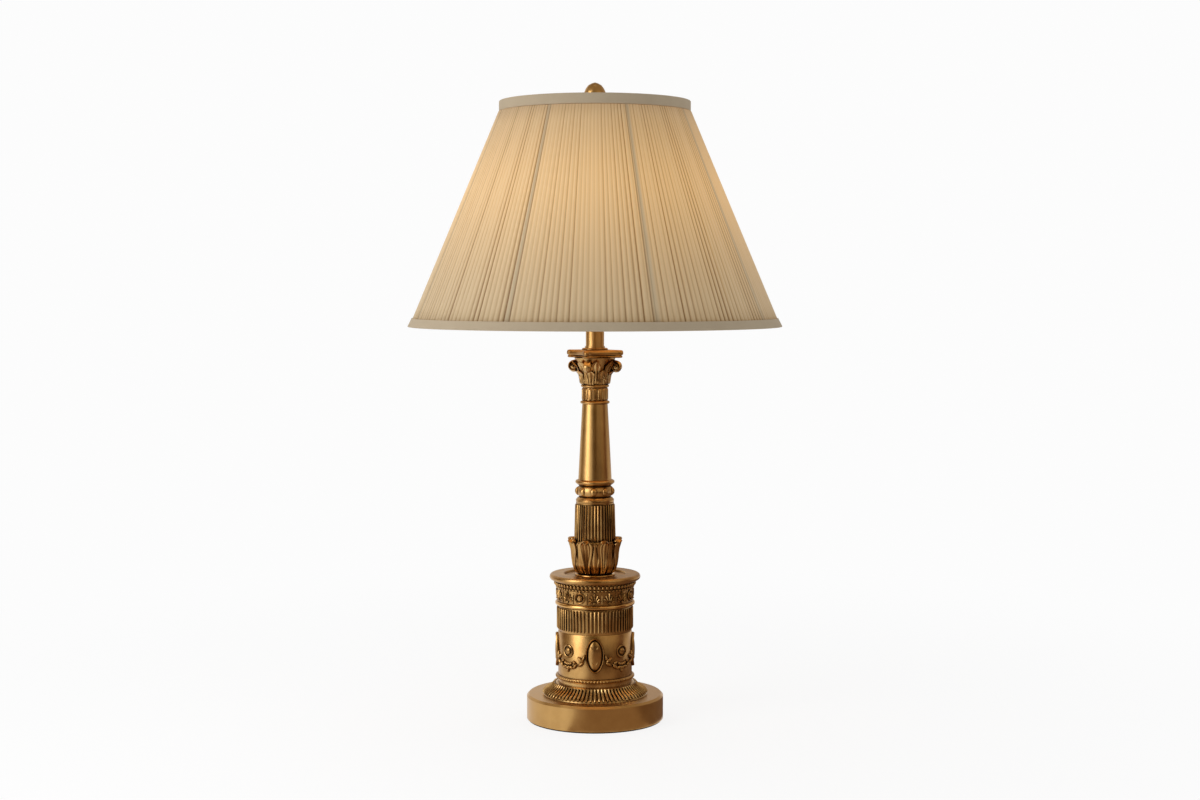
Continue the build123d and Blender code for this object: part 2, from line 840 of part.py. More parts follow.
def abacus_sketch(height, inset):
    """The concave-sided square with clipped corners, drawn at a height and drawn in by an inset."""
    reach = abacus_corner_radius - inset
    half_clip = abacus_corner_width / 2
    turn = front + volute_turn
    corners = []
    for quarter in range(4):
        corners.append(Vector(reach, -half_clip, 0).rotate(Axis.Z, turn + 90 * quarter))
        corners.append(Vector(reach, half_clip, 0).rotate(Axis.Z, turn + 90 * quarter))
    with BuildSketch(Plane.XY.offset(height)) as sketch:
        with BuildLine():
            for quarter in range(4):
                clip_start, clip_end = corners[2 * quarter], corners[2 * quarter + 1]
                next_corner = corners[(2 * quarter + 2) % 8]
                waist = Vector(abacus_waist - inset, 0, 0).rotate(Axis.Z, turn + 90 * quarter + 45)
                Line(clip_start, clip_end)
                ThreePointArc(clip_end, waist, next_corner)
        make_face()
    return sketch.sketch


with BuildPart() as abacus:
    add(abacus_sketch(bell_top, abacus_step_inset))
    extrude(amount=abacus_step)
    add(abacus_sketch(bell_top + abacus_step, 0))
    extrude(amount=abacus_height - abacus_step)
    with BuildSketch(Plane.XY.offset(abacus_top)):
        Circle(abacus_boss_radius)
    extrude(amount=abacus_boss_height)
    with BuildSketch(Plane.XY.offset(bell_top)):
        Circle(pipe_hole_radius)
    extrude(amount=boss_top - bell_top, mode=Mode.SUBTRACT)
abacus.part.label = "abacus"

with BuildPart() as neck_collar:
    with BuildSketch(Plane.XY.offset(boss_top)):
        Circle(neck_collar_radius)
        Circle(pipe_hole_radius, mode=Mode.SUBTRACT)
    extrude(amount=neck_collar_height)
neck_collar.part.label = "neck_collar"

with BuildPart() as neck_tube:
    with BuildSketch(Plane.XY.offset(neck_collar_top)):
        Circle(neck_radius)
        Circle(neck_radius - neck_wall, mode=Mode.SUBTRACT)
    extrude(amount=neck_length)
neck_tube.part.label = "neck_tube"

# ---------------------------------------------------------------- harp
# a flat strap with an upturned ear at each end, beside the harp's leg
ear_inside = harp_leg_x + harp_rod_radius + ear_gap
ear_outside = ear_inside + saddle_thickness
with BuildPart() as harp_saddle:
    with BuildSketch(Plane.XZ):
        with BuildLine():
            Polyline(
                (-ear_outside, saddle_top + ear_height),
                (-ear_outside, neck_top),
                (ear_outside, neck_top),
                (ear_outside, saddle_top + ear_height),
                (ear_inside, saddle_top + ear_height),
                (ear_inside, saddle_top),
                (-ear_inside, saddle_top),
                (-ear_inside, saddle_top + ear_height),
                close=True,
            )
        make_face()
    extrude(amount=saddle_width / 2, both=True)
    with BuildSketch(Plane.XY.offset(neck_top)):
        Circle(saddle_pad_radius)
    extrude(amount=saddle_thickness)
    with BuildSketch(Plane.XY.offset(neck_top)):
        Circle(pipe_hole_radius)
    extrude(amount=saddle_thickness, mode=Mode.SUBTRACT)
harp_saddle.part.label = "harp_saddle"

# one bent rod; its legs stand on the saddle
belly_height = saddle_top + harp_belly_height
shoulder_height = harp_top - harp_shoulder_drop
with BuildPart() as harp_bow:
    with BuildLine() as harp_route:
        FilletPolyline(
            (-harp_leg_x, 0, saddle_top),
            (-harp_leg_x, 0, saddle_top + harp_leg_height),
            (-harp_belly_x, 0, belly_height),
            (-harp_belly_x, 0, shoulder_height),
            (-harp_shoulder_x, 0, harp_top),
            (harp_shoulder_x, 0, harp_top),
            (harp_belly_x, 0, shoulder_height),
            (harp_belly_x, 0, belly_height),
            (harp_leg_x, 0, saddle_top + harp_leg_height),
            (harp_leg_x, 0, saddle_top),
            radius=(*harp_bends, *reversed(harp_bends)),
        )
    with BuildSketch(Plane(origin=harp_route.line @ 0, z_dir=harp_route.line % 0)):
        RegularPolygon(harp_rod_radius, 8)
    sweep()
harp_bow.part.label = "harp_bow"

# a block clamped over the top of the bow, with the threaded stud that the shade and finial sit on
with BuildPart() as harp_stud:
    with BuildSketch(Plane.XY.offset(harp_top)):
        Rectangle(stud_base_length, stud_base_width)
    extrude(amount=stud_base_top - harp_top)
    with BuildSketch(Plane.YZ.offset(-stud_base_length)):
        with Locations((0, harp_top)):
            Circle(harp_rod_radius + turning_gap)
    extrude(amount=2 * stud_base_length, mode=Mode.SUBTRACT)
    with BuildSketch(Plane.XY.offset(stud_base_top)):
        Circle(stud_radius)
    extrude(amount=stud_length)
harp_stud.part.label = "harp_stud"

# two sleeves that slide down over the leg and the ear and stand on the saddle
ferrule_inside = harp_leg_x - harp_rod_radius - running_gap
ferrule_outside = ear_outside + running_gap
ferrule_middle = (ferrule_inside + ferrule_outside) / 2
ferrule_hole_length = ferrule_outside - ferrule_inside
ferrule_hole_width = saddle_width + 2 * running_gap


def ferrule(side, name):
    """The sleeve on one leg of the harp, side being -1 at the left and 1 at the right."""
    with BuildPart() as sleeve:
        with BuildSketch(Plane.XY.offset(saddle_top)):
            with Locations((side * ferrule_middle, 0)):
                RectangleRounded(
                    ferrule_hole_length + 2 * ferrule_wall,
                    ferrule_hole_width + 2 * ferrule_wall,
                    ferrule_corner_radius,
                )
                Rectangle(ferrule_hole_length, ferrule_hole_width, mode=Mode.SUBTRACT)
        extrude(amount=ferrule_height)
    sleeve.part.label = name
    return sleeve


ferrule_left = ferrule(-1, "ferrule_left")
ferrule_right = ferrule(1, "ferrule_right")

# ---------------------------------------------------------------- socket
cap_inside = socket_shell_radius + running_gap
cap_outside = cap_inside + socket_cap_wall
socket_cap_top = saddle_top + socket_cap_height
with BuildPart() as socket_cap:
    revolve(
        outline(
            (pipe_hole_radius, saddle_top),
            (cap_outside - cap_foot_chamfer, saddle_top),
            (cap_outside, saddle_top + cap_foot_chamfer),
            (cap_outside, socket_cap_top),
            (cap_inside, socket_cap_top),
            (cap_inside, saddle_top + cap_foot_chamfer),
            (cap_inside - cap_foot_chamfer, saddle_top + socket_cap_wall),
            (pipe_hole_radius, saddle_top + socket_cap_wall),
        ),
        axis=Axis.Z,
    )
socket_cap.part.label = "socket_cap"

switch_plane = Plane(origin=(0, 0, switch_height), x_dir=(1, 0, 0), z_dir=(0, -1, 0))
shell_inside = socket_shell_radius - socket_shell_wall
with BuildPart() as socket_shell:
    with BuildSketch(Plane.XY.offset(shell_bottom - socket_shell_drop)):
        Circle(socket_shell_radius)
        Circle(shell_inside, mode=Mode.SUBTRACT)
    extrude(amount=shell_top - shell_bottom + socket_shell_drop)
    with BuildSketch(switch_plane):
        Circle(switch_hole_radius)
    extrude(amount=2 * socket_shell_radius, mode=Mode.SUBTRACT)
socket_shell.part.label = "socket_shell"

tube_outside = shell_inside - running_gap
tube_inside = tube_outside - liner_tube_wall
with BuildPart() as socket_liner:
    with BuildSketch(Plane.XY.offset(shell_bottom)):
        Circle(tube_outside)
        Circle(tube_inside, mode=Mode.SUBTRACT)
    extrude(amount=shell_top + liner_tube_rise - shell_bottom)
    with BuildSketch(switch_plane):
        Circle(switch_hole_radius)
    extrude(amount=2 * socket_shell_radius, mode=Mode.SUBTRACT)
socket_liner.part.label = "socket_liner"

with BuildPart() as socket_body:
    with BuildSketch(Plane.XY.offset(shell_bottom)):
        Circle(tube_inside - running_gap)
    extrude(amount=socket_body_height)
    with BuildSketch(switch_plane.offset(switch_depth - running_gap)):
        Circle(switch_shaft_radius + turning_gap)
    extrude(amount=2 * socket_shell_radius, mode=Mode.SUBTRACT)
socket_body.part.label = "socket_body"

screw_shell_inside = screw_shell_radius - screw_shell_wall
with BuildPart() as screw_shell:
    with BuildSketch(Plane.XY.offset(body_top)):
        Circle(screw_shell_radius)
        Circle(screw_shell_inside, mode=Mode.SUBTRACT)
    extrude(amount=screw_shell_top - body_top)
screw_shell.part.label = "screw_shell"

# a springy bent strip under the bulb's tip
contact_bend = contact_foot - contact_reach
with BuildPart() as centre_contact:
    with BuildSketch(Plane.XZ):
        with BuildLine():
            Polyline(
                (-contact_reach, body_top),
                (contact_bend, body_top),
                (contact_bend + contact_slope, body_top + contact_height - contact_thickness),
                (contact_reach, body_top + contact_height - contact_thickness),
                (contact_reach, body_top + contact_height),
                (contact_bend + contact_slope - contact_thickness, body_top + contact_height),
                (contact_bend - contact_thickness, body_top + contact_thickness),
                (-contact_reach, body_top + contact_thickness),
                close=True,
            )
        make_face()
    extrude(amount=contact_width / 2, both=True)
centre_contact.part.label = "centre_contact"

with BuildPart() as switch_shaft:
    with BuildSketch(switch_plane.offset(switch_depth)):
        Circle(switch_shaft_radius)
    extrude(amount=switch_reach - switch_depth)
switch_shaft.part.label = "switch_shaft"

# a round knob with finger flutes
with BuildPart() as switch_knob:
    with BuildSketch(switch_plane.offset(switch_reach)):
        Circle(knob_radius)
        with PolarLocations(knob_radius + knob_flute_offset, knob_flute_count):
            Circle(knob_flute_radius, mode=Mode.SUBTRACT)
    extrude(amount=knob_length)
switch_knob.part.label = "switch_knob"

# ---------------------------------------------------------------- bulb
with BuildPart() as bulb_tip:
    with BuildSketch(Plane.XY.offset(bulb_tip_bottom)):
        Circle(bulb_tip_radius)
    extrude(amount=bulb_tip_height)
bulb_tip.part.label = "bulb_tip"

with BuildPart() as bulb_base:
    with BuildSketch(Plane.XY.offset(base_bottom)):
        Circle(bulb_base_radius - bulb_base_taper)
    with BuildSketch(Plane.XY.offset(base_bottom + bulb_base_taper_height)):
        Circle(bulb_base_radius)
    loft()
    with BuildSketch(Plane.XY.offset(base_bottom + bulb_base_taper_height)):
        Circle(bulb_base_radius)
    extrude(amount=bulb_base_height - bulb_base_taper_height)
bulb_base.part.label = "bulb_base"


def globe_point(angle, radius):
    """A (radius, height) point on the bulb's globe, at an angle above its middle."""
    return (radius * math.cos(math.radians(angle)), globe_middle + radius * math.sin(math.radians(angle)))


globe_inside = bulb_radius - bulb_glass_wall
with BuildPart() as bulb_glass:
    revolve(
        outline(
            (bulb_neck_radius - bulb_glass_wall, base_top),
            (bulb_neck_radius, base_top),
            (bulb_neck_radius + bulb_throat_flare, base_top + bulb_throat_height),
            *[globe_point(angle, bulb_radius) for angle in (-38, -8, 20, 48, 72)],
            (0, glass_top),
            (0, glass_top - bulb_glass_wall),
            *[globe_point(angle, globe_inside - running_gap) for angle in (60, 10, -38)],
            (bulb_neck_radius - bulb_glass_wall, base_top + bulb_throat_height),
        ),
        axis=Axis.Z,
    )
bulb_glass.part.label = "bulb_glass"

# ---------------------------------------------------------------- shade
# a washer on the stud with three flat spokes that rise to the top ring
top_ring_top = shade_top - top_trim_lip - running_gap
top_ring_bottom = top_ring_top - ring_size
top_ring_middle = rib_line(top_ring_bottom)
spider_washer_radius = finial_foot_radius + spider_washer_rim
spoke_end = top_ring_middle - ring_size / 2 - running_gap
with BuildPart() as shade_spider:
    with BuildSketch(Plane.XY.offset(stud_base_top)):
        Circle(spider_washer_radius)
        Circle(stud_radius + running_gap, mode=Mode.SUBTRACT)
    extrude(amount=spider_thickness)
    with BuildPart(mode=Mode.PRIVATE) as spoke:
        with BuildSketch(Plane.YZ.offset(spider_washer_radius - spoke_root)):
            with Locations((0, stud_base_top + spider_thickness / 2)):
                Rectangle(spoke_width, spider_thickness)
        with BuildSketch(Plane.YZ.offset(spoke_end)):
            with Locations((0, top_ring_bottom + ring_size / 2)):
                Rectangle(spoke_width, spider_thickness)
        loft(ruled=True)
    with PolarLocations(0, spoke_count, start_angle=front + spoke_turn):
        add(spoke.part)
shade_spider.part.label = "shade_spider"

with BuildPart() as shade_top_ring:
    with BuildSketch(Plane.XY.offset(top_ring_bottom)):
        Circle(top_ring_middle + ring_size / 2)
        Circle(top_ring_middle - ring_size / 2, mode=Mode.SUBTRACT)
    extrude(amount=ring_size)
shade_top_ring.part.label = "shade_top_ring"

bottom_ring_bottom = shade_bottom + ring_lift
bottom_ring_top = bottom_ring_bottom + ring_size
bottom_ring_middle = rib_line(bottom_ring_top)
with BuildPart() as shade_bottom_ring:
    with BuildSketch(Plane.XY.offset(bottom_ring_bottom)):
        Circle(bottom_ring_middle + ring_size / 2)
        Circle(bottom_ring_middle - ring_size / 2, mode=Mode.SUBTRACT)
    extrude(amount=ring_size)
shade_bottom_ring.part.label = "shade_bottom_ring"

# eight straight ribs between the two rings
with BuildPart() as rib:
    with BuildSketch(Plane.XY.offset(bottom_ring_top)):
        with Locations((rib_line(bottom_ring_top), 0)):
            Circle(rib_radius)
    with BuildSketch(Plane.XY.offset(top_ring_bottom)):
        with Locations((rib_line(top_ring_bottom), 0)):
            Circle(rib_radius)
    loft(ruled=True)
with BuildPart() as shade_ribs:
    with PolarLocations(0, rib_count, start_angle=front + rib_turn):
        add(rib.part)
shade_ribs.part.label = "shade_ribs"

lining_bottom = bottom_ring_top + running_gap
lining_top = top_ring_bottom - 2 * running_gap
with BuildPart() as shade_liner:
    revolve(
        outline(
            (lining_line(lining_bottom), lining_bottom),
            (lining_line(lining_top), lining_top),
            (lining_line(lining_top) - lining_thickness, lining_top),
            (lining_line(lining_bottom) - lining_thickness, lining_bottom),
        ),
        axis=Axis.Z,
    )
shade_liner.part.label = "shade_liner"


def pleated_face(height, inset):
    """The cover's pleated edge at a height, drawn in by an inset: ridges and valleys by turns."""
    ridge = cover_line(height)
    points = []
    for step in range(2 * pleat_count):
        radius = (ridge if step % 2 == 0 else ridge * (1 - pleat_depth)) - inset
        points.append(Vector(radius, 0, height).rotate(Axis.Z, 180 * step / pleat_count))
    return make_face(Polyline(*points, close=True)).face()


cover_outside, cover_hollow = (
    loft([pleated_face(cover_bottom, inset), pleated_face(cover_top, inset)], ruled=True)
    for inset in (0, cloth_thickness)
)
with BuildPart() as shade_cover:
    add(cover_outside)
    add(cover_hollow, mode=Mode.SUBTRACT)
shade_cover.part.label = "shade_cover"

with BuildPart() as shade_trim_top:
    revolve(
        outline(
            (cover_inside(cover_top), cover_top),
            (top_trim_radius, cover_top),
            (top_trim_radius, shade_top),
            (top_ring_middle - ring_size / 2, shade_top),
            (top_ring_middle - ring_size / 2, shade_top - top_trim_lip),
            (top_ring_middle + ring_size / 2 + running_gap, shade_top - top_trim_lip),
        ),
        axis=Axis.Z,
    )
shade_trim_top.part.label = "shade_trim_top"

with BuildPart() as shade_trim_bottom:
    revolve(
        outline(
            (cover_line(shade_bottom) - trim_inset, shade_bottom),
            (cover_line(shade_bottom) + bottom_trim_proud, shade_bottom),
            (cover_line(cover_bottom) + running_gap, cover_bottom),
            (cover_line(cover_bottom) - trim_inset, cover_bottom),
        ),
        axis=Axis.Z,
    )
shade_trim_bottom.part.label = "shade_trim_bottom"

# ---------------------------------------------------------------- finial
# an acorn: a cap-like foot, a waist and a domed nut
finial_bottom = washer_top
finial_edge = [
    (finial_foot_radius, finial_bottom),
    *[(finial_lip_radius * share, finial_bottom + finial_height * rise) for share, rise in finial_shape],
]
acorn = faceted(finial_edge, finial_sides)
with BuildPart() as finial:
    add(acorn)
    with BuildSketch(Plane.XY.offset(finial_bottom)):
        Circle(stud_radius + turning_gap)
    extrude(amount=stud_length - spider_thickness + finial_bore_end, mode=Mode.SUBTRACT)
finial.part.label = "finial"

# ---------------------------------------------------------------- files
pieces = [
    felt_pad, foot_disc, foot_weight, cord_bushing, pipe_washer, pipe_nut, lamp_pipe,
    gadroon_skirt, bead_ring, drum, reeded_band, band_ring, frieze_band, cap_dish,
    leaf_cup, reeded_sleeve, knop, tapered_shaft, necking_collar, capital, abacus, neck_collar, neck_tube,
    harp_saddle, harp_bow, harp_stud, ferrule_left, ferrule_right,
    socket_cap, socket_shell, socket_liner, socket_body, screw_shell, centre_contact,
    switch_shaft, switch_knob, bulb_tip, bulb_base, bulb_glass,
    shade_spider, shade_top_ring, shade_bottom_ring, shade_ribs, shade_liner, shade_cover,
    shade_trim_top, shade_trim_bottom, finial,
]
os.makedirs("parts", exist_ok=True)
for piece in pieces:
    export_step(piece.part, f"parts/{piece.part.label}.step")
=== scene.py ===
"""The looks of a candlestick table lamp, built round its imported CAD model.

The lamp's forms are drawn in millimetres and piece() brings them to metres; the materials, the sheets and
the studio are in metres. +Z is up, the column's axis is Z, and the camera looks along +Y, so the front is
-Y. An angle round the column is in degrees, counted from the front towards +X.
"""

from __future__ import annotations

import json
import logging
import math
import random
from collections.abc import Callable, Mapping, Sequence
from dataclasses import dataclass
from enum import Enum
from typing import Any

import bmesh
import bpy
from mathutils import Matrix, Vector


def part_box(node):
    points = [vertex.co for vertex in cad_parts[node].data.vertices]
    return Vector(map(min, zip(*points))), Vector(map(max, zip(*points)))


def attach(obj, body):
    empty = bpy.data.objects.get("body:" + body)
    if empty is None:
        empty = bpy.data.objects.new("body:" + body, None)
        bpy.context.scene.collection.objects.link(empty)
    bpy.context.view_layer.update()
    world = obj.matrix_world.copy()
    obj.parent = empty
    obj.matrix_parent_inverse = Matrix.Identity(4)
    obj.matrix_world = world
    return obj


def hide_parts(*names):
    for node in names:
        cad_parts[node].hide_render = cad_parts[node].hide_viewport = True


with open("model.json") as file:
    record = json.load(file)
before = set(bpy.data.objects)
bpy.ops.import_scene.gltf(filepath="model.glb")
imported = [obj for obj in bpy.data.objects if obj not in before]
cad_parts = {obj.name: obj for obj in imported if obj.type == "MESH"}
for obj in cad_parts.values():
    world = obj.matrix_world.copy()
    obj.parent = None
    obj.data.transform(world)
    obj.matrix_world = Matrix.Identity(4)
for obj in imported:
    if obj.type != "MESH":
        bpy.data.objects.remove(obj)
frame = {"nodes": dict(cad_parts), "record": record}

log = logging.getLogger("candlestick_lamp")
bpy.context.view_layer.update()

Point = tuple[float, float]
Colour = tuple[float, float, float, float]
Line = Callable[[float], float]

MM = 0.001
SEED = 11
SAME_POINT = 0.001  # millimetres
SIDEWAYS, UPWARDS = Vector((1, 0, 0)), Vector((0, 0, 1))

PIPE_BORE = 5.5
SHAFT_BORE = 9.5
DRUM_BORE = 37.4
DRUM_RADIUS = 40.6
BULB_RADIUS = 30.0


# ---------------------------------------------------------------- measures
def tint(red: int, green: int, blue: int) -> Colour:
    """The linear colour of a red, green and blue as a screen shows them, from 0 to 255."""

    def linear(level: int) -> float:
        share = level / 255
        return share / 12.92 if share <= 0.04045 else ((share + 0.055) / 1.055) ** 2.4

    return (linear(red), linear(green), linear(blue), 1.0)


def around(radius: float, degrees: float, height: float) -> Vector:
    """The point at a radius, angle and height."""
    angle = math.radians(degrees)
    return Vector((radius * math.sin(angle), -radius * math.cos(angle), height))


def polar(radius: float, degrees: float, centre: Point = (0.0, 0.0)) -> Point:
    """The flat point at a radius from a centre, 0 degrees being straight across and 90 straight up."""
    angle = math.radians(degrees)
    return (centre[0] + radius * math.cos(angle), centre[1] + radius * math.sin(angle))


def arc(centre: Point, radius: float, start: float, end: float, steps: int) -> list[Point]:
    """A round stretch of an outline, about a (radius, height) centre from one angle to another."""
    return [polar(radius, mix(start, end, step / steps), centre) for step in range(steps + 1)]


def mix(low: float, high: float, share: float) -> float:
    """The number at a share of the way from low to high."""
    return low + (high - low) * share


def ease(share: float) -> float:
    """A share from 0 to 1, made to start and stop gently."""
    held = min(1.0, max(0.0, share))
    return held * held * (3 - 2 * held)


def following(outline: Sequence[Point]) -> Line:
    """The radius by height of a rising outline, which keeps its last radius above its end."""

    def line(level: float) -> float:
        for (low_radius, low), (high_radius, high) in zip(outline, outline[1:]):
            if level <= high:
                return mix(low_radius, high_radius, (max(level, low) - low) / (high - low))
        return outline[-1][0]

    return line


@dataclass(frozen=True)
class Span:
    """The height that a CAD node takes up, and its radius, in millimetres."""

    low: float
    high: float
    radius: float

    @classmethod
    def of(cls, node: str) -> Span:
        """The span of a CAD node that stands round the column's axis."""
        lowest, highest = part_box(node)
        return cls(lowest.z / MM, highest.z / MM, highest.x / MM)

    @property
    def height(self) -> float:
        """From the foot to the head."""
        return self.high - self.low

    def at(self, share: float) -> float:
        """The height at a share of the way up."""
        return mix(self.low, self.high, share)


# ---------------------------------------------------------------- forms
def placing(point: Sequence[float], across: Vector, outwards: Vector, along: Vector) -> Matrix:
    """The matrix that puts X, Y and Z on three vectors, at a point."""
    columns = Matrix((across, outwards, along)).transposed().to_4x4()
    return Matrix.Translation(point) @ columns


def turned_by(degrees: float) -> Matrix:
    """The matrix that turns a form about the column."""
    return Matrix.Rotation(math.radians(degrees), 4, "Z")


def stations(route: Sequence[Vector], sizes: Sequence[Point], side: Vector | None = None) -> list[Matrix]:
    """Where the rings of a tube stand.

    Args:
        route: the points that the tube follows.
        sizes: its (width, depth) at each of them.
        side: the way that its width lies; without one, its depth lies along Z.

    Returns:
        The matrix of each ring.
    """
    made = []
    for number, (point, (width, depth)) in enumerate(zip(route, sizes)):
        before, after = route[max(0, number - 1)], route[min(len(route) - 1, number + 1)]
        along = (after - before).normalized()
        across = along.cross(UPWARDS) if side is None else side
        outwards = UPWARDS if side is None else side.cross(along)
        made.append(placing(point, across * width / 2, outwards * depth / 2, along))
    return made


class Form:
    """A mesh in the making, shaped with bmesh's operators.

    A relief is drawn flat, x across, y up and z outwards, and then wrapped round the column.
    """

    def __init__(self) -> None:
        """Starts with nothing."""
        self.mesh = bmesh.new()

    def data(self, name: str) -> bpy.types.Mesh:
        """Turns the form into mesh data, which ends it."""
        made = bpy.data.meshes.new(name)
        self.mesh.to_mesh(made)
        self.mesh.free()
        return made

    def _circle(self, sides: int, matrix: Matrix) -> tuple[list[Any], list[Any]]:
        """Adds the unit circle, moved by a matrix, and hands back its points and edges."""
        corners = bmesh.ops.create_circle(
            self.mesh, cap_ends=False, radius=1.0, segments=sides, matrix=matrix
        )["verts"]
        return corners, list(dict.fromkeys(edge for corner in corners for edge in corner.link_edges))

    def _spun(self, geometry: Sequence[Any], share: float, steps: int, merged: bool) -> Form:
        """Spins geometry about Z by a share of a turn, as one skin or as loose copies."""
        bmesh.ops.spin(
            self.mesh, geom=geometry, cent=(0, 0, 0), axis=UPWARDS, dvec=(0, 0, 0), angle=math.tau * share,
            steps=steps, use_merge=merged, use_duplicate=not merged,
        )
        return self

    def turned(self, outline: Sequence[Point], steps: int = 96) -> Form:
        """Spins a closed outline of (radius, height) points."""
        corners = [self.mesh.verts.new((radius, 0.0, height)) for radius, height in outline]
        edges = [self.mesh.edges.new(pair) for pair in zip(corners, corners[1:] + corners[:1])]
        self._spun(corners + edges, 1.0, steps, True)
        bmesh.ops.remove_doubles(self.mesh, verts=self.mesh.verts, dist=SAME_POINT)
        return self

    def tube(self, places: Sequence[Matrix], sides: int = 8) -> Form:
        """Skins a row of rings and closes both ends.

        Args:
            places: where each ring stands; a ring is the unit circle in its own XY plane.
            sides: how many sides each ring has.

        Returns:
            This form.
        """
        ring = first = self._circle(sides, places[0])[1]
        for before, after in zip(places, places[1:]):
            grown = bmesh.ops.extrude_edge_only(self.mesh, edges=ring)["geom"]
            corners = {item for item in grown if isinstance(item, bmesh.types.BMVert)}
            ring = [
                item for item in grown
                if isinstance(item, bmesh.types.BMEdge) and set(item.verts) <= corners
            ]
            bmesh.ops.transform(self.mesh, matrix=after @ before.inverted(), verts=list(corners))
        for end in (first, ring):
            bmesh.ops.edgeloop_fill(self.mesh, edges=end)
        return self

    def reed(self, low: Point, high: Point, width: float, depth: float, sides: int = 8) -> Form:
        """Lays a straight ridge with two round ends between two points."""
        start, end = Vector((*low, 0)), Vector((*high, 0))
        reach = (end - start).normalized() * width
        shares = ((0.0, 0.34), (0.17, 0.80), (0.5, 1.0))
        stops = [(start + reach * share, swell) for share, swell in shares]
        stops += [(end - reach * share, swell) for share, swell in reversed(shares)]
        sizes = [(width * swell, depth * swell) for point, swell in stops]
        return self.tube(stations([point for point, swell in stops], sizes), sides)

    def ball(self, matrix: Matrix, rings: int) -> Form:
        """Sets the unit sphere, moved and stretched by a matrix."""
        bmesh.ops.create_uvsphere(
            self.mesh, u_segments=2 * rings, v_segments=rings, radius=1.0, matrix=matrix
        )
        return self

    def dome(self, place: Point, width: float, height: float, depth: float, lift: float = 0.0,
             turn: float = 0.0, rings: int = 6) -> Form:
        """Sets an egg-shaped boss on the flat, turned by an angle in degrees."""
        seat = Matrix.Translation((*place, lift)) @ turned_by(turn)
        return self.ball(seat @ Matrix.Diagonal((width / 2, height / 2, depth / 2, 1.0)), rings)

    def hoop(self, radius: float, width: float, depth: float) -> Form:
        """Sets a round hoop about the middle of the flat."""
        across, outwards = SIDEWAYS * width / 2, UPWARDS * depth / 2
        corners, edges = self._circle(8, placing(SIDEWAYS * radius, across, outwards, Vector((0, 1, 0))))
        return self._spun(corners + edges, 1.0, 24, True)

    def sheet(self, across: int, up: int, place: Callable[[float, float], Vector]) -> Form:
        """Lays a grid and moves each of its points.

        Args:
            across: how many squares it is wide.
            up: how many squares it is high.
            place: gives a point's place from its shares across, -1 to 1, and up, 0 to 1.

        Returns:
            This form.
        """
        made = bmesh.ops.create_grid(self.mesh, x_segments=across, y_segments=up, size=1.0)
        for vertex in made["verts"]:
            vertex.co = place(vertex.co.x, (vertex.co.y + 1) / 2)
        return self

    def stacked(self, levels: Sequence[Sequence[Vector]]) -> Form:
        """Skins a stack of closed outlines that have the same number of points, and closes both ends."""
        count, up = len(levels[0]), len(levels) - 1

        def place(across: float, share: float) -> Vector:
            return levels[round(share * up)][round((across + 1) / 2 * count) % count]

        self.sheet(count, up, place)
        bmesh.ops.remove_doubles(self.mesh, verts=self.mesh.verts, dist=SAME_POINT)
        rims = [edge for edge in self.mesh.edges if edge.is_boundary]
        bmesh.ops.holes_fill(self.mesh, edges=rims, sides=0)
        return self

    def thickened(self, depth: float) -> Form:
        """Gives an open sheet a wall of a thickness."""
        bmesh.ops.recalc_face_normals(self.mesh, faces=self.mesh.faces)
        bmesh.ops.solidify(self.mesh, geom=self.mesh.faces[:], thickness=depth)
        return self

    def wrapped(self, line: Line | float, degrees: float = 0.0, height: float = 0.0) -> Form:
        """Bends a flat relief round the column's axis.

        Args:
            line: the radius that the flat lies at, the same all the way or by height.
            degrees: where its middle goes.
            height: how high its y = 0 goes.

        Returns:
            This form.
        """
        for vertex in self.mesh.verts:
            level = vertex.co.y + height
            radius = line(level) if callable(line) else line
            turn = math.degrees(vertex.co.x / radius)
            vertex.co = around(radius + vertex.co.z, degrees + turn, level)
        return self

    def repeated(self, count: int) -> Form:
        """Sets copies of the whole form evenly round Z, count in all."""
        everything = self.mesh.verts[:] + self.mesh.edges[:] + self.mesh.faces[:]
        return self._spun(everything, (count - 1) / count, count - 1, False)

    def placed(self, matrix: Matrix) -> Form:
        """Moves the whole form."""
        bmesh.ops.transform(self.mesh, matrix=matrix, verts=self.mesh.verts)
        return self

    def joined(self, *others: Form) -> Form:
        """Takes other forms in."""
        for other in others:
            lent = other.data("lent")
            self.mesh.from_mesh(lent)
            bpy.data.meshes.remove(lent)
        return self


def shown(name: str, data: bpy.types.ID) -> bpy.types.Object:
    """A new object in the scene."""
    made = bpy.data.objects.new(name, data)
    bpy.context.scene.collection.objects.link(made)
    return made


def piece(form: Form, name: str, finish: bpy.types.Material, body: str,
          stands_for: Sequence[str] = (), foot: float = 0.0, crease: float = 38.0) -> bpy.types.Object:
    """Makes a form a piece of the lamp.

    Args:
        form: the finished form, in millimetres.
        name: the piece's name.
        finish: its material.
        body: the CAD body that it rides on.
        stands_for: the CAD nodes that it replaces.
        foot: the height in millimetres that the form's z = 0 goes to.
        crease: the angle in degrees past which an edge stays sharp.

    Returns:
        The object.
    """
    mesh = form.placed(Matrix.Scale(MM, 4) @ Matrix.Translation((0, 0, foot))).mesh
    bmesh.ops.recalc_face_normals(mesh, faces=mesh.faces)
    for face in mesh.faces:
        face.smooth = True
    for edge in mesh.edges:
        edge.smooth = not edge.is_manifold or edge.calc_face_angle(0.0) < math.radians(crease)
    made = shown(name, form.data(name))
    made.data.materials.append(finish)
    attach(made, body)
    if stands_for:
        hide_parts(*stands_for)
    log.info("%s: %d faces on %s", name, len(made.data.polygons), body)
    return made


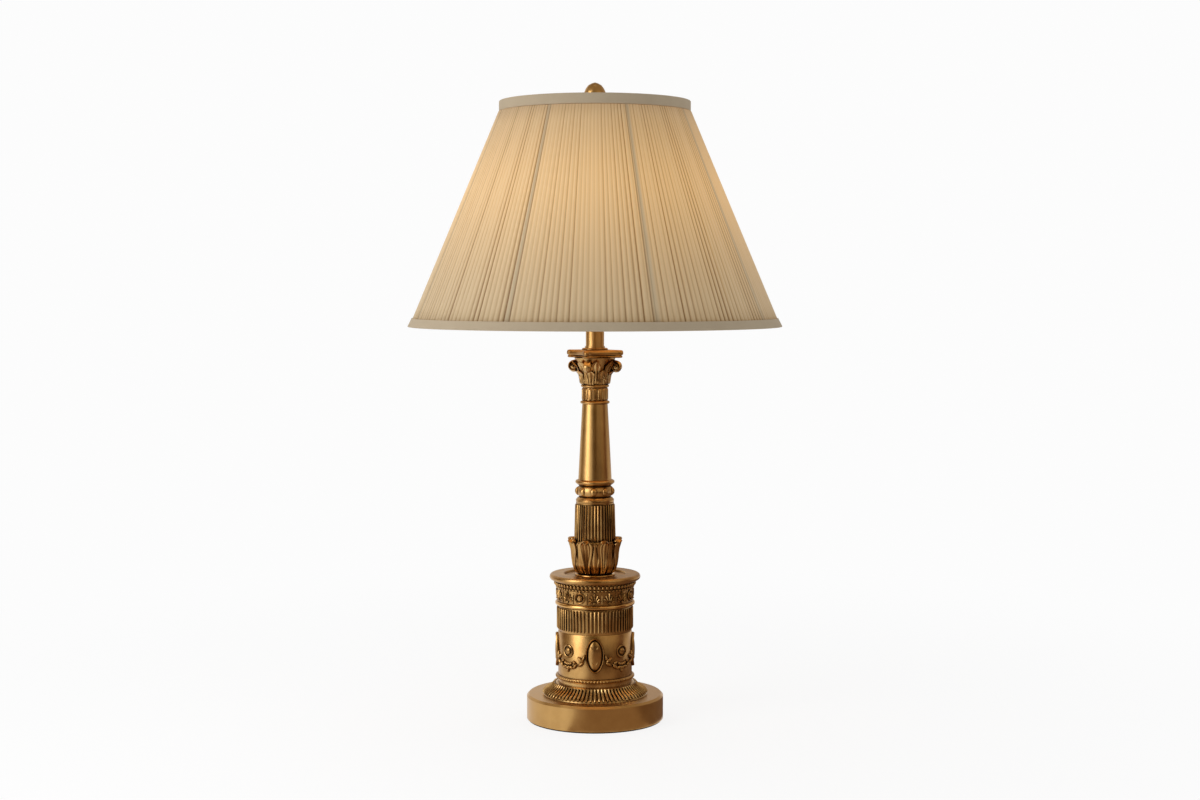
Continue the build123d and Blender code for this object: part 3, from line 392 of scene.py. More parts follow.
# ---------------------------------------------------------------- shader sums
def sum_of(operation: str, reflected: bool = False) -> Callable[[Value, Any], Value]:
    """An operator that adds a Math node, with its two terms the other way round where reflected."""

    def method(self: Value, other: Any) -> Value:
        terms = (other, self) if reflected else (self, other)
        return self.graph.math(operation, *terms)

    return method


class Value:
    """A shader's socket that sums can be written with."""

    def __init__(self, graph: Graph, socket: bpy.types.NodeSocket) -> None:
        """Keeps the socket and the graph that it is in."""
        self.graph = graph
        self.socket = socket

    __add__, __radd__ = sum_of("ADD"), sum_of("ADD", True)
    __sub__, __rsub__ = sum_of("SUBTRACT"), sum_of("SUBTRACT", True)
    __mul__, __rmul__ = sum_of("MULTIPLY"), sum_of("MULTIPLY", True)
    __truediv__, __rtruediv__ = sum_of("DIVIDE"), sum_of("DIVIDE", True)
    __pow__, __rpow__ = sum_of("POWER"), sum_of("POWER", True)


class Graph:
    """The nodes of one material, or of the world."""

    def __init__(self, owner: bpy.types.Material | bpy.types.World) -> None:
        """Empties the owner's tree."""
        owner.use_nodes = True
        self.owner = owner
        self.tree = owner.node_tree
        self.tree.nodes.clear()

    @classmethod
    def of_material(cls, name: str) -> Graph:
        """A graph in a new material of that name."""
        return cls(bpy.data.materials.new(name))

    def node(self, kind: str, settings: Mapping[str, Any] | None = None,
             inputs: Mapping[int | str, Any] | None = None, output: int | str = 0) -> Value:
        """Adds a node.

        Args:
            kind: the node's type.
            settings: its own settings.
            inputs: the value, colour or link of each socket, by number or name.
            output: the socket that is handed back.

        Returns:
            That socket.
        """
        made = self.tree.nodes.new(kind)
        for name, setting in (settings or {}).items():
            setattr(made, name, setting)
        for name, given in (inputs or {}).items():
            if isinstance(given, Value):
                self.tree.links.new(given.socket, made.inputs[name])
            else:
                made.inputs[name].default_value = given
        return Value(self, made.outputs[output] if len(made.outputs) else made.inputs[0])

    def math(self, operation: str, first: Any, second: Any) -> Value:
        """The result of one Math node."""
        return self.node("ShaderNodeMath", {"operation": operation}, {0: first, 1: second})

    def blend(self, share: Value | float, first: Any, second: Any) -> Value:
        """Mixes two colours."""
        return self.node("ShaderNodeMix", {"data_type": "RGBA"}, {0: share, 6: first, 7: second}, 2)

    def place(self) -> Value:
        """The place on the piece, in metres."""
        return self.node("ShaderNodeTexCoord", output="Object")

    def distance(self, point: Sequence[float]) -> Value:
        """How far the place on the piece is from a point."""
        settings = {"operation": "DISTANCE"}
        return self.node("ShaderNodeVectorMath", settings, {0: self.place(), 1: point}, "Value")

    def part(self, vector: Value, axis: str) -> Value:
        """One number of a vector."""
        return self.node("ShaderNodeSeparateXYZ", {}, {"Vector": vector}, axis)

    def cloud(self, scale: float, detail: float = 3.0, stretch: Sequence[float] = (1, 1, 1)) -> Value:
        """A soft noise from 0 to 1, its scale in waves a metre, squeezed along each axis by stretch."""
        spot = self.node("ShaderNodeMapping", {}, {"Vector": self.place(), "Scale": stretch})
        return self.node("ShaderNodeTexNoise", {}, {"Vector": spot, "Scale": scale, "Detail": detail})

    def rise(self, value: Value, low: float, high: float) -> Value:
        """A smooth step of a value, 0 below low and 1 above high."""
        return self.node(
            "ShaderNodeMapRange", {"interpolation_type": "SMOOTHSTEP"},
            {"Value": value, "From Min": low, "From Max": high},
        )

    def painted(self, name: str) -> Value:
        """A number that the mesh carries at each point."""
        settings = {"attribute_type": "GEOMETRY", "attribute_name": name}
        return self.node("ShaderNodeAttribute", settings, output="Fac")

    def bumped(self, height: Value, strength: float, depth: float) -> Value:
        """A surface whose fine relief follows a value."""
        return self.node("ShaderNodeBump", {}, {"Strength": strength, "Distance": depth, "Height": height})

    def glowing(self, kind: str, colour: Colour, strength: Value | float) -> Value:
        """A shader that gives off light."""
        return self.node(kind, {}, {"Color": colour, "Strength": strength})

    def ended(self, shader: Value, kind: str = "Material") -> bpy.types.Material | bpy.types.World:
        """Ends the graph in a shader, and hands its owner back."""
        self.node(f"ShaderNodeOutput{kind}", {}, {"Surface": shader})
        return self.owner

    def surface(self, inputs: Mapping[str, Any]) -> bpy.types.Material:
        """Ends the graph in a Principled shader."""
        return self.ended(self.node("ShaderNodeBsdfPrincipled", {}, inputs))


# ---------------------------------------------------------------- finishes
BRASS_HIGH = tint(214, 176, 116)
BRASS_LIGHT = tint(200, 158, 98)
BRASS_SATIN = tint(190, 148, 90)
BRASS_MID = tint(164, 120, 68)
BRASS_DARK = tint(46, 27, 12)
GOLD_LIGHT = tint(226, 180, 112)
GOLD_MID = tint(198, 146, 80)
BULB_GLOW = tint(255, 186, 84)
BLACK: Colour = (0, 0, 0, 1)
WHITE: Colour = (1, 1, 1, 1)


class Brushing(Enum):
    """The way that a brass surface was rubbed down, with the strength of the relief it left."""

    CAST = 0.22
    LATHE = 0.12
    BUFFED = 0.05


@dataclass(frozen=True)
class Brass:
    """Brass with a brown lacquer that stays dark in its hollows and is rubbed bright on what stands out."""

    name: str
    bright: Colour
    mellow: Colour
    roughness: float
    hollow: float = 3 * MM
    hollow_low: float = 0.42
    hollow_high: float = 0.93
    brushing: Brushing = Brushing.CAST

    def material(self) -> bpy.types.Material:
        """The material of this brass."""
        graph = Graph.of_material(self.name)
        patches = graph.cloud(70.0, 4.0)
        specks = graph.cloud(900.0, 2.0)
        open_air = graph.node(
            "ShaderNodeAmbientOcclusion", {"samples": 10}, {"Distance": self.hollow}, "AO"
        )
        clean = graph.rise(open_air, self.hollow_low, self.hollow_high)
        body = graph.blend(graph.rise(patches + 0.25 * specks, 0.35, 0.85), self.mellow, self.bright)
        if self.brushing is Brushing.CAST:
            relief = 0.6 * specks + 0.4 * patches
        elif self.brushing is Brushing.LATHE:
            relief = graph.cloud(6.0, 2.0, (4, 4, 900))
        else:
            relief = graph.cloud(240.0, 1.0)
        return graph.surface({
            "Base Color": graph.blend(clean, BRASS_DARK, body),
            "Metallic": 1.0,
            "Roughness": self.roughness + 0.22 * (1 - clean) + 0.12 * (patches - 0.5),
            "Normal": graph.bumped(relief, self.brushing.value, 0.15 * MM),
        })


@dataclass(frozen=True)
class Plain:
    """A simple finish of two near colours that run into each other, with a fine grain."""

    name: str
    first: Colour
    second: Colour
    roughness: float
    metallic: float = 0.0
    grain: float = 800.0
    relief: float = 0.1
    glow: Colour = BLACK
    glow_strength: float = 0.0

    def material(self) -> bpy.types.Material:
        """The material of this finish."""
        graph = Graph.of_material(self.name)
        patches = graph.cloud(45.0, 4.0)
        grain = graph.cloud(self.grain, 2.0)
        return graph.surface({
            "Base Color": graph.blend(0.5 * patches + 0.5 * grain, self.first, self.second),
            "Metallic": self.metallic,
            "Roughness": self.roughness + 0.12 * (patches - 0.5),
            "Emission Color": self.glow,
            "Emission Strength": self.glow_strength,
            "Normal": graph.bumped(grain, self.relief, 0.2 * MM),
        })


@dataclass(frozen=True)
class LitCloth:
    """Cloth with a bulb behind it: it glows by its distance from the bulb, less in folds and behind wires."""

    name: str
    ridge: Colour
    # fold: the colour deep in a fold, which paints shade into the folds
    fold: Colour
    glow_strength: float
    near: float
    bulb: Vector

    def material(self) -> bpy.types.Material:
        """The material of this cloth."""
        graph = Graph.of_material(self.name)
        fold = graph.painted("fold")
        wire = graph.painted("wire")
        light = (self.near / graph.distance(self.bulb)) ** 3.0
        threads = graph.cloud(2600.0, 1.0, (1, 1, 0.12))
        slubs = graph.cloud(120.0, 3.0, (1, 1, 0.15))
        # Near the top the glow is dimmed, and the colour is darkened towards the fold colour as painted shade.
        near_top = graph.rise(graph.part(graph.place(), "Z"), self.bulb.z + 0.02, self.bulb.z + 0.13)
        # Painted shade: the colour runs from the ridge colour to the darker fold colour down into each fold.
        cloth = graph.blend(graph.rise(fold, 0.1, 1.0), self.ridge, self.fold)
        doubled = 0.72 + 0.28 * graph.rise(fold, 0.0, 0.3)
        shown_light = light * (1 - 0.30 * near_top) * doubled
        shown_light = shown_light * (1 - 0.6 * fold) * (1 - 0.7 * wire) * (0.93 + 0.14 * slubs)
        return graph.surface({
            "Base Color": graph.blend(0.10 * slubs + 0.08 * threads + 0.16 * near_top, cloth, self.fold),
            "Roughness": 0.85,
            "Sheen Weight": 0.15,
            "Emission Color": graph.blend(shown_light, BLACK, BULB_GLOW),
            "Emission Strength": self.glow_strength,
            "Normal": graph.bumped(threads, 0.25, 0.1 * MM),
        })


class Finishes:
    """Every finish of the lamp, made once: the record's slots', and the chased brass."""

    def __init__(self, bulb: Vector) -> None:
        """Makes the materials.

        Args:
            bulb: the middle of the bulb, which the shade's cloth glows around.
        """
        kinds = {
            "antique_brass": Brass("antique_cast_brass", BRASS_LIGHT, BRASS_MID, 0.30),
            "chased_brass": Brass(
                "antique_chased_brass", BRASS_HIGH, BRASS_MID, 0.27, 2.6 * MM, 0.40, 0.90,
            ),
            "satin_brass": Brass(
                "satin_turned_brass", BRASS_LIGHT, BRASS_SATIN, 0.30, 4 * MM, 0.15, 0.7, Brushing.LATHE,
            ),
            "bright_brass": Brass(
                "bright_polished_brass", GOLD_LIGHT, GOLD_MID, 0.16, 2 * MM, 0.05, 0.5, Brushing.BUFFED,
            ),
            "felt": Plain("brown_felt", tint(60, 40, 28), tint(44, 30, 22), 0.95, 0, 1500, 0.8),
            "cast_iron": Plain("cast_iron", tint(60, 58, 56), tint(42, 41, 41), 0.6, 0.8, 500, 0.5),
            "zinc_steel": Plain("zinc_steel", tint(190, 190, 186), tint(160, 161, 160), 0.35, 1.0),
            "black_plastic": Plain("black_plastic", tint(30, 28, 27), tint(20, 19, 19), 0.45),
            "fibre_card": Plain("fibre_card", tint(120, 96, 70), tint(98, 78, 58), 0.8),
            "frosted_glass": Plain(
                "frosted_glass", tint(255, 246, 228), tint(250, 238, 214), 0.35, 0, 300, 0.02,
                tint(255, 224, 170), 1.6,
            ),
            "wire_enamel": Plain("wire_enamel", tint(226, 214, 190), tint(212, 198, 172), 0.4),
            # The cloths' second colour is painted shade: in the pleats' valleys, and where the lining draws in
            # between the wires.
            "shade_cloth": LitCloth(
                "pleated_cloth", tint(194, 177, 146), tint(108, 80, 52), 0.46, 0.146, bulb,
            ),
            "shade_lining": LitCloth(
                "lining_cloth", tint(236, 222, 196), tint(206, 180, 140), 0.75, 0.140, bulb,
            ),
            "shade_trim": Plain("trim_tape", tint(188, 171, 145), tint(170, 153, 127), 0.85, 0, 1400, 0.5),
        }
        self.made = {name: kind.material() for name, kind in kinds.items()}

    def __getitem__(self, name: str) -> bpy.types.Material:
        """The material of a slot, or the chased brass."""
        return self.made[name]

    def dress(self) -> None:
        """Gives every CAD node that still shows a finish by its own slot."""
        for row in frame["record"]["subparts"]:
            materials = frame["nodes"][row["node"]].data.materials
            materials.clear()
            materials.append(self.made[row["material_slot"]])


# ---------------------------------------------------------------- the lamp
@dataclass
class Foot:
    """The felt under the foot; the foot's disc keeps its CAD form."""

    finishes: Finishes
    edge_round: float = 0.6

    def build(self) -> None:
        """Makes the felt pad."""
        pad = Span.of("felt_pad")
        edge = arc((pad.radius - self.edge_round, pad.high - self.edge_round), self.edge_round, 0, 90, 4)
        outline = [(0.0, pad.low), (pad.radius, pad.low), *edge, (0.0, pad.high)]
        made = piece(
            Form().turned(outline), "felt_underside", self.finishes["felt"], "stand", ["felt_pad"]
        )


@dataclass
class Casting:
    """A sub-assembly of the stand that is cast in brass."""

    finishes: Finishes

    def cast(self, form: Form, name: str, node: str, finish: str = "antique_brass") -> None:
        """Makes a form that is drawn up from the foot of a CAD node the piece that replaces it."""
        piece(form, name, self.finishes[finish], "stand", [node], Span.of(node).low)


@dataclass
class Pedestal(Casting):
    """The cast drum on its flared skirt, with its rings, frieze and dished cap."""

    gadroons: int = 76
    beads: int = 76
    reeds: int = 64
    shells: int = 16
    pearls: int = 64
    wall: float = 3.2
    medallion: Point = (20.0, 38.0)
    rosette: float = 7.2
    cap_leaves: int = 60
    swag_links: int = 3
    rosette_turn: float = -23.0
    steps: int = 128

    def build(self) -> None:
        """Makes every piece of the pedestal."""
        self.build_skirt()
        self.build_bead_ring()
        self.build_drum()
        self.build_reeded_band()
        self.build_band_ring()
        self.build_frieze()
        self.build_cap()

    def build_skirt(self) -> None:
        """The concave flare, with a round-ended gadroon on each of its ribs."""
        span = Span.of("gadroon_skirt")
        bore = span.radius - 20.0
        flare = [(57.4, 1.6), (55.2, 3.4), (50.6, 5.6), (47.0, 8.2), (45.2, 10.2), (44.2, 12.2)]
        core = Form().turned([
            (bore, 0), (57.6, 0), *[(radius - 0.9, height) for radius, height in flare],
            (DRUM_RADIUS, 13.2), (DRUM_RADIUS, span.height), (bore, span.height),
        ])
        route = [around(radius, 0, height) for radius, height in flare]
        swells = (0.45, 0.92, 1.0, 1.0, 0.98, 0.80)
        breadth = 0.78 * math.tau / self.gadroons
        sizes = [(breadth * flare[number][0] * swell, 3.8 * swell) for number, swell in enumerate(swells)]
        ribs = Form().tube(stations(route, sizes, SIDEWAYS)).repeated(self.gadroons)
        self.cast(core.joined(ribs), "gadrooned_skirt", "gadroon_skirt", "chased_brass")

    def build_bead_ring(self) -> None:
        """A row of beads on a half-round ring."""
        span = Span.of("bead_ring")
        core = Form().turned([
            (DRUM_BORE, 0), (DRUM_RADIUS, 0), (DRUM_RADIUS, 1.4),
            *arc((41.3, span.height - 1.8), 1.6, -100, 75, 8), (DRUM_BORE, span.height),
        ])
        bead = Form().dome((0, 0), 3.3, 3.2, 2.6, rings=5).wrapped(42.2, 0, span.height - 2.2)
        self.cast(core.joined(bead.repeated(self.beads)), "beaded_ring", "bead_ring")

    def medallion_form(self, height: float, radius: float) -> Form:
        """A pointed oval: a round rim, a crowned field and a worn sprig of leaves on it."""
        wide, tall = self.medallion
        rim_width = 1.8
        steps = 40
        badge = Form()
        rim = []
        for step in range(steps + 1):
            turn = math.tau * step / steps
            pinch = 1 - 0.16 * abs(math.sin(turn)) ** 3
            half_wide, half_tall = pinch * (wide - rim_width) / 2, (tall - rim_width) / 2
            rim.append(Vector((math.cos(turn) * half_wide, math.sin(turn) * half_tall, 0)))
        badge.tube(stations(rim, [(rim_width, 5.6)] * len(rim)))
        badge.dome((0, 0), wide - 2.0 * rim_width, tall - 2.2 * rim_width, 7.2, -0.3, rings=14)
        for level in range(4):
            foot = mix(-0.22, 0.20, level / 3) * tall
            for side in (-1, 1):
                badge.dome((side * 2.5, foot), 2.2, 6.4, 1.6, 2.2, -side * 38, rings=5)
        return badge.wrapped(radius, 0, height)

    def rosette_form(self, height: float, radius: float, size: float) -> Form:
        """A small flower in a round ring: a boss with five worn petals."""
        flower = Form().hoop(size - 0.9, 1.9, 3.2)
        flower.dome((0, 0), 1.14 * size, 1.14 * size, 5.4, rings=8)
        for petal in range(5):
            turn = 18 + 72 * petal
            flower.dome(polar(0.20 * size, turn), 0.28 * size, 0.20 * size, 1.0, 2.5, turn, rings=4)
        return flower.wrapped(radius, 0, height)

    def swag_form(self, low: float, high: float, radius: float, start: float, end: float) -> Form:
        """Half a garland of leaves, from beside the medallion down to the middle of its dip."""
        garland = Form()
        reach = math.radians(end - start) * radius
        drop = high - low
        garland.dome((2.4, drop + 1.6), 3.4, 8.4, 5.0, 0.0, 24, rings=7)
        garland.dome((5.6, drop - 0.6), 9.6, 4.0, 5.6, 0.0, 38, rings=7)
        garland.dome((5.4, drop - 5.4), 8.6, 3.8, 5.4, 0.0, -36, rings=7)
        for link in range(self.swag_links):
            share = (link + 1.0) / self.swag_links
            across, up = mix(7.6, reach, share), 0.46 * drop * (1 - share) ** 2
            lean = 30 if link % 2 else -24
            garland.dome((across, up), 7.6, 3.9, 5.6, 0.0, -44 * (1 - share) + lean, rings=7)
            garland.dome((across + 1.0, up + 4.0), 5.4, 3.2, 4.6, 0.0, -lean, rings=6)
        return garland.wrapped(radius, start, low)

    def build_drum(self) -> None:
        """The drum, its four medallions and rosettes, and the garlands that hang between them."""
        span = Span.of("drum")
        radius = DRUM_RADIUS
        bore = radius - self.wall
        core = Form().turned([
            (bore, 0), (radius, 0), (radius, span.height - 1.2),
            (radius - 0.8, span.height), (bore, span.height),
        ], self.steps)
        motifs = [
            self.medallion_form(26.6, radius),
            self.rosette_form(29.7, radius, self.rosette).placed(turned_by(45)),
            Form().dome((0, 0), 3.6, 6.0, 4.4, rings=5).wrapped(radius, 45, 9.4),
        ]
        for side in (-1, 1):
            half = self.swag_form(12, 22, radius, 14.0, 45)
            if side < 0:
                half.placed(Matrix.Scale(-1, 4, (1, 0, 0)))
            motifs.append(half)
        for motif in motifs:
            motif.repeated(4)
        self.cast(core.joined(*motifs), "garlanded_drum", "drum")

    def build_reeded_band(self) -> None:
        """A row of upright reeds with round ends."""
        span = Span.of("reeded_band")
        radius = 40.5
        core = Form().turned([
            (radius - self.wall, 0), (radius - 0.6, 0), (radius, 1.0),
            (radius, span.height - 1.0), (radius - 0.4, span.height), (radius - self.wall, span.height),
        ], self.steps)
        pitch = math.tau * radius / self.reeds
        reed = Form().reed((0, 2.4), (0, span.height - 2.0), 0.60 * pitch, 3.2).wrapped(radius, 0, 0)
        self.cast(core.joined(reed.repeated(self.reeds)), "reeded_drum_band", "reeded_band")

    def build_band_ring(self) -> None:
        """A half-round ring."""
        span = Span.of("band_ring")
        bulge = span.height / 2
        outline = [(DRUM_BORE, 0), (41.2, 0)]
        outline += arc((span.radius - bulge, span.height / 2), bulge, -80, 80, 10)
        outline += [(41.2, span.height), (DRUM_BORE, span.height)]
        self.cast(Form().turned(outline, self.steps), "half_round_ring", "band_ring", "bright_brass")

    def shell_form(self, height: float, radius: float) -> Form:
        """A shell of seven flutes that spread from a small scroll."""
        shell = Form()
        root = -5.6
        for flute in range(7):
            aside = abs(flute - 3) / 3
            angle = 90 - 23.0 * (flute - 3)
            shell.reed(
                polar(3.0, angle, (0, root)), polar(mix(11.6, 7.0, aside), angle, (0, root)), 2.1,
                mix(3.6, 2.8, aside), 6,
            )
        shell.dome((0, root + 0.4), 4.0, 2.8, 3.8, rings=4)
        return shell.wrapped(radius, 0, height)

    def build_frieze(self) -> None:
        """Shells and slim stems under a row of pearls, with a ringed rosette in each quarter."""
        span = Span.of("frieze_band")
        radius = 41.2
        core = Form().turned([
            (radius - self.wall, 0), (radius, 0), (radius, span.height - 2.6),
            (radius + 0.7, span.height - 2.0), (radius + 0.7, span.height),
            (radius - self.wall, span.height),
        ], self.steps)
        middle = 0.45 * span.height
        step = 360 / self.shells
        quarter = Form()
        for place in range(1, 4):
            quarter.joined(self.shell_form(middle, radius).placed(turned_by(place * step)))
        quarter.joined(
            self.rosette_form(middle, radius, 6.2),
            Form().dome((0, 0), 2.4, 3.4, 2.4, rings=4).wrapped(radius, 0, span.height - 3.6),
        )
        quarter.placed(turned_by(self.rosette_turn)).repeated(4)
        stem = Form().reed((0, 1.2), (0, 12.8), 1.1, 1.8, 6)
        stem.dome((0, 11.6), 2.2, 3.2, 2.0, rings=4)
        stem.wrapped(radius, self.rosette_turn + step / 2, 0).repeated(self.shells)
        pearl = Form().dome((0, 0), 3.5, 3.0, 3.4, rings=5).wrapped(radius + 0.4, 0, span.height - 1.5)
        self.cast(core.joined(quarter, stem, pearl.repeated(self.pearls)), "shell_frieze", "frieze_band")

    def build_cap(self) -> None:
        """The overhanging cap, the row of nubs under its rim and the polished ring in its dish."""
        span = Span.of("cap_dish")
        rim = 3.3
        bore, floor, plate = PIPE_BORE, span.height - 2, 33.0
        outline = [
            (bore, floor - 3), (DRUM_BORE, floor - 3), (DRUM_BORE, 0), (42.2, 0), (43.2, 2.6),
            (44.0, 4.6), *arc((span.radius - rim, span.height - 0.1 - rim), rim, -120, 85, 14),
            (44.0, span.height - 0.5), (36.6, span.height),
            *arc((34.4, span.height - 0.9), 0.9, 80, 180, 5), (plate, floor), (bore, floor),
        ]
        tip = Form().dome((0, 2.4), 4.0, 5.0, 4.6, rings=6).wrapped(42.9, 0, 0)
        self.cast(
            Form().turned(outline, self.steps).joined(tip.repeated(self.cap_leaves)), "moulded_cap", "cap_dish",
        )
        seat = Form().turned([
            (bore, floor), (22.2, floor), *arc((21.2, floor + 0.9), 0.9, -60, 90, 6),
            (19.6, floor + 0.9), (bore, floor + 0.6),
        ], self.steps)
        piece(seat, "cup_seat_ring", self.finishes["bright_brass"], "stand", foot=span.low)


@dataclass(frozen=True)
class Leaf:
    """A cast leaf on a turned body: a raised rim, flutes, and a tip that curls outwards or rolls up."""

    foot: float
    breadth: float
    length: float
    curl: float
    lean: float
    rim: float = 1.1
    flute: float = 0.75
    ribs: int = 4
    point: float = 0.2
    shoulder: float = 0.76
    roll: float = 0.0

    def form(self, line: Line, degrees: float, height: float) -> Form:
        """The leaf, laid on a body.

        Args:
            line: the body's radius by height.
            degrees: where the leaf's rib goes, from the front towards +X.
            height: of the leaf's foot.

        Returns:
            The closed form.
        """

        def place(across: float, up: float) -> Vector:
            head = max(0.0, (up - self.shoulder) / (1 - self.shoulder))
            half = mix(self.foot, self.breadth, ease(up / self.shoulder)) / 2
            half *= math.sqrt(max(0.0, 1 - head ** (2 - self.point)))
            flute = 0.5 + 0.5 * math.cos(math.pi * self.ribs * across)
            edge = ease((abs(across) - 0.62) / 0.22)
            roll = ease((up - 0.55) / 0.45)
            over = ease((up - 0.86) / 0.14)
            relief = max(edge, self.flute * flute * ease((0.80 - abs(across)) / 0.2)) * ease(up / 0.1)
            out = 0.4 + self.lean * up + self.curl * roll**2 + self.rim * relief - 0.1 * self.curl * over
            return Vector((across * half, up * self.length - 0.12 * self.curl * over * self.point, out))

        leaf = Form().sheet(20, 22, place).thickened(1.1)
        if self.roll:
            leaf.dome(
                (0, 0.955 * self.length), self.roll * self.breadth, 0.15 * self.length, 3.0 * self.curl,
                0.8 * self.curl, rings=7,
            )
        return leaf.wrapped(line, degrees, height)


@dataclass
class Column(Casting):
    """The leaf cup, reeded sleeve, knop and necking; the tapered shaft keeps its CAD form."""

    leaves: int = 8
    leaf_turn: float = 22.5
    reeds: int = 40
    bosses: int = 9
    boss_turn: float = -4.0
    tongues: int = 16

    def build(self) -> None:
        """Makes every piece of the column."""
        self.build_leaf_cup()
        self.build_sleeve()
        self.build_knop()
        self.build_necking()

    def build_leaf_cup(self) -> None:
        """A bowl of eight broad leaves, with a pointed leaf behind each gap."""
        span = Span.of("leaf_cup")
        bowl = [
            (16.6, 0), (17.4, 2.6), (20.6, 7.0), (22.4, 12.0), (23.2, 20.0), (23.6, 30.0), (24.0, 37.0),
        ]
        core = Form().turned([
            (PIPE_BORE, 0), *bowl, (23.2, span.height - 3.2), (22.6, span.height - 3.4),
            (22.6, 24), (PIPE_BORE, 24),
        ])
        line = following(bowl)
        broad = Leaf(4.6, 13.8, 39.4, 2.4, 0.6, 1.4, 0.85, 4, 0.0, 0.84, 0.66)
        slim = Leaf(5.0, 12.0, 37.0, 1.0, -0.6, 1.0, 0.8, 2, 0.8, 0.6)
        pitch = 360 / self.leaves
        front = broad.form(line, self.leaf_turn, 0.6)
        behind = slim.form(line, self.leaf_turn + pitch / 2, 0.6)
        self.cast(
            core.joined(behind.repeated(self.leaves), front.repeated(self.leaves)), "acanthus_cup",
            "leaf_cup",
        )

    def build_sleeve(self) -> None:
        """The reeded lower column."""
        span = Span.of("reeded_sleeve")
        foot, head = 21.6, 20.1

        def line(level: float) -> float:
            return mix(foot, head, level / span.height)

        core = Form().turned([
            (14.6, 0), (foot, 0), (head, span.height - 1.6),
            (head + 0.7, span.height - 1.0), (head + 0.7, span.height), (14.6, span.height),
        ])
        reed = Form().reed(
            (0, 12), (0, span.height - 1.6), 0.60 * math.tau * 20.8 / self.reeds, 3.2,
        ).wrapped(line, 0, 0)
        self.cast(core.joined(reed.repeated(self.reeds)), "reeded_lower_column", "reeded_sleeve")

    def build_knop(self) -> None:
        """A swollen ring with a boss on each of its ovals, between two small rings."""
        span = Span.of("knop")
        middle = span.height / 2
        swell, axis = 8.0, 11.9
        outline = [
            (SHAFT_BORE, 0), (20.6, 0), *arc((19.7, 1.4), 1.2, -30, 10, 3),
            *arc((19.7, 3.0), 1.2, -10, 80, 4), (19.3, 5.4), *arc((axis, middle), swell, -50, 50, 12),
            (19.2, span.height - 5.6), *arc((19.5, span.height - 2.7), 2.0, -75, 75, 8),
            (18.3, span.height), (SHAFT_BORE, span.height),
        ]
        lozenge = Form().dome((0, 0), 7.4, 9.8, 4.4, rings=9)

        def line(level: float) -> float:
            away = min(abs(level - middle), 0.8 * swell)
            return axis + math.sqrt(swell**2 - away**2)

        lozenge.wrapped(line, self.boss_turn, middle).repeated(self.bosses)
        self.cast(Form().turned(outline).joined(lozenge), "bossed_knop", "knop")

    def build_necking(self) -> None:
        """A ring, a row of broad tongues and an astragal."""
        span = Span.of("necking_collar")
        core = Form().turned([
            (SHAFT_BORE, 0), (14.0, 0), *arc((14.6, 1.9), 1.5, -80, 80, 8),
            (13.5, 4.2), (13.5, span.height - 4.4), *arc((13.8, span.height - 2.2), 1.6, -80, 80, 8),
            (14.4, span.height), (SHAFT_BORE, span.height),
        ])
        tongue = Form().reed(
            (0, 4.2), (0, span.height - 4.6), 0.80 * math.tau * 13.6 / self.tongues, 2.2,
        ).wrapped(13.4, 0, 0)
        self.cast(core.joined(tongue.repeated(self.tongues)), "tongued_necking", "necking_collar")


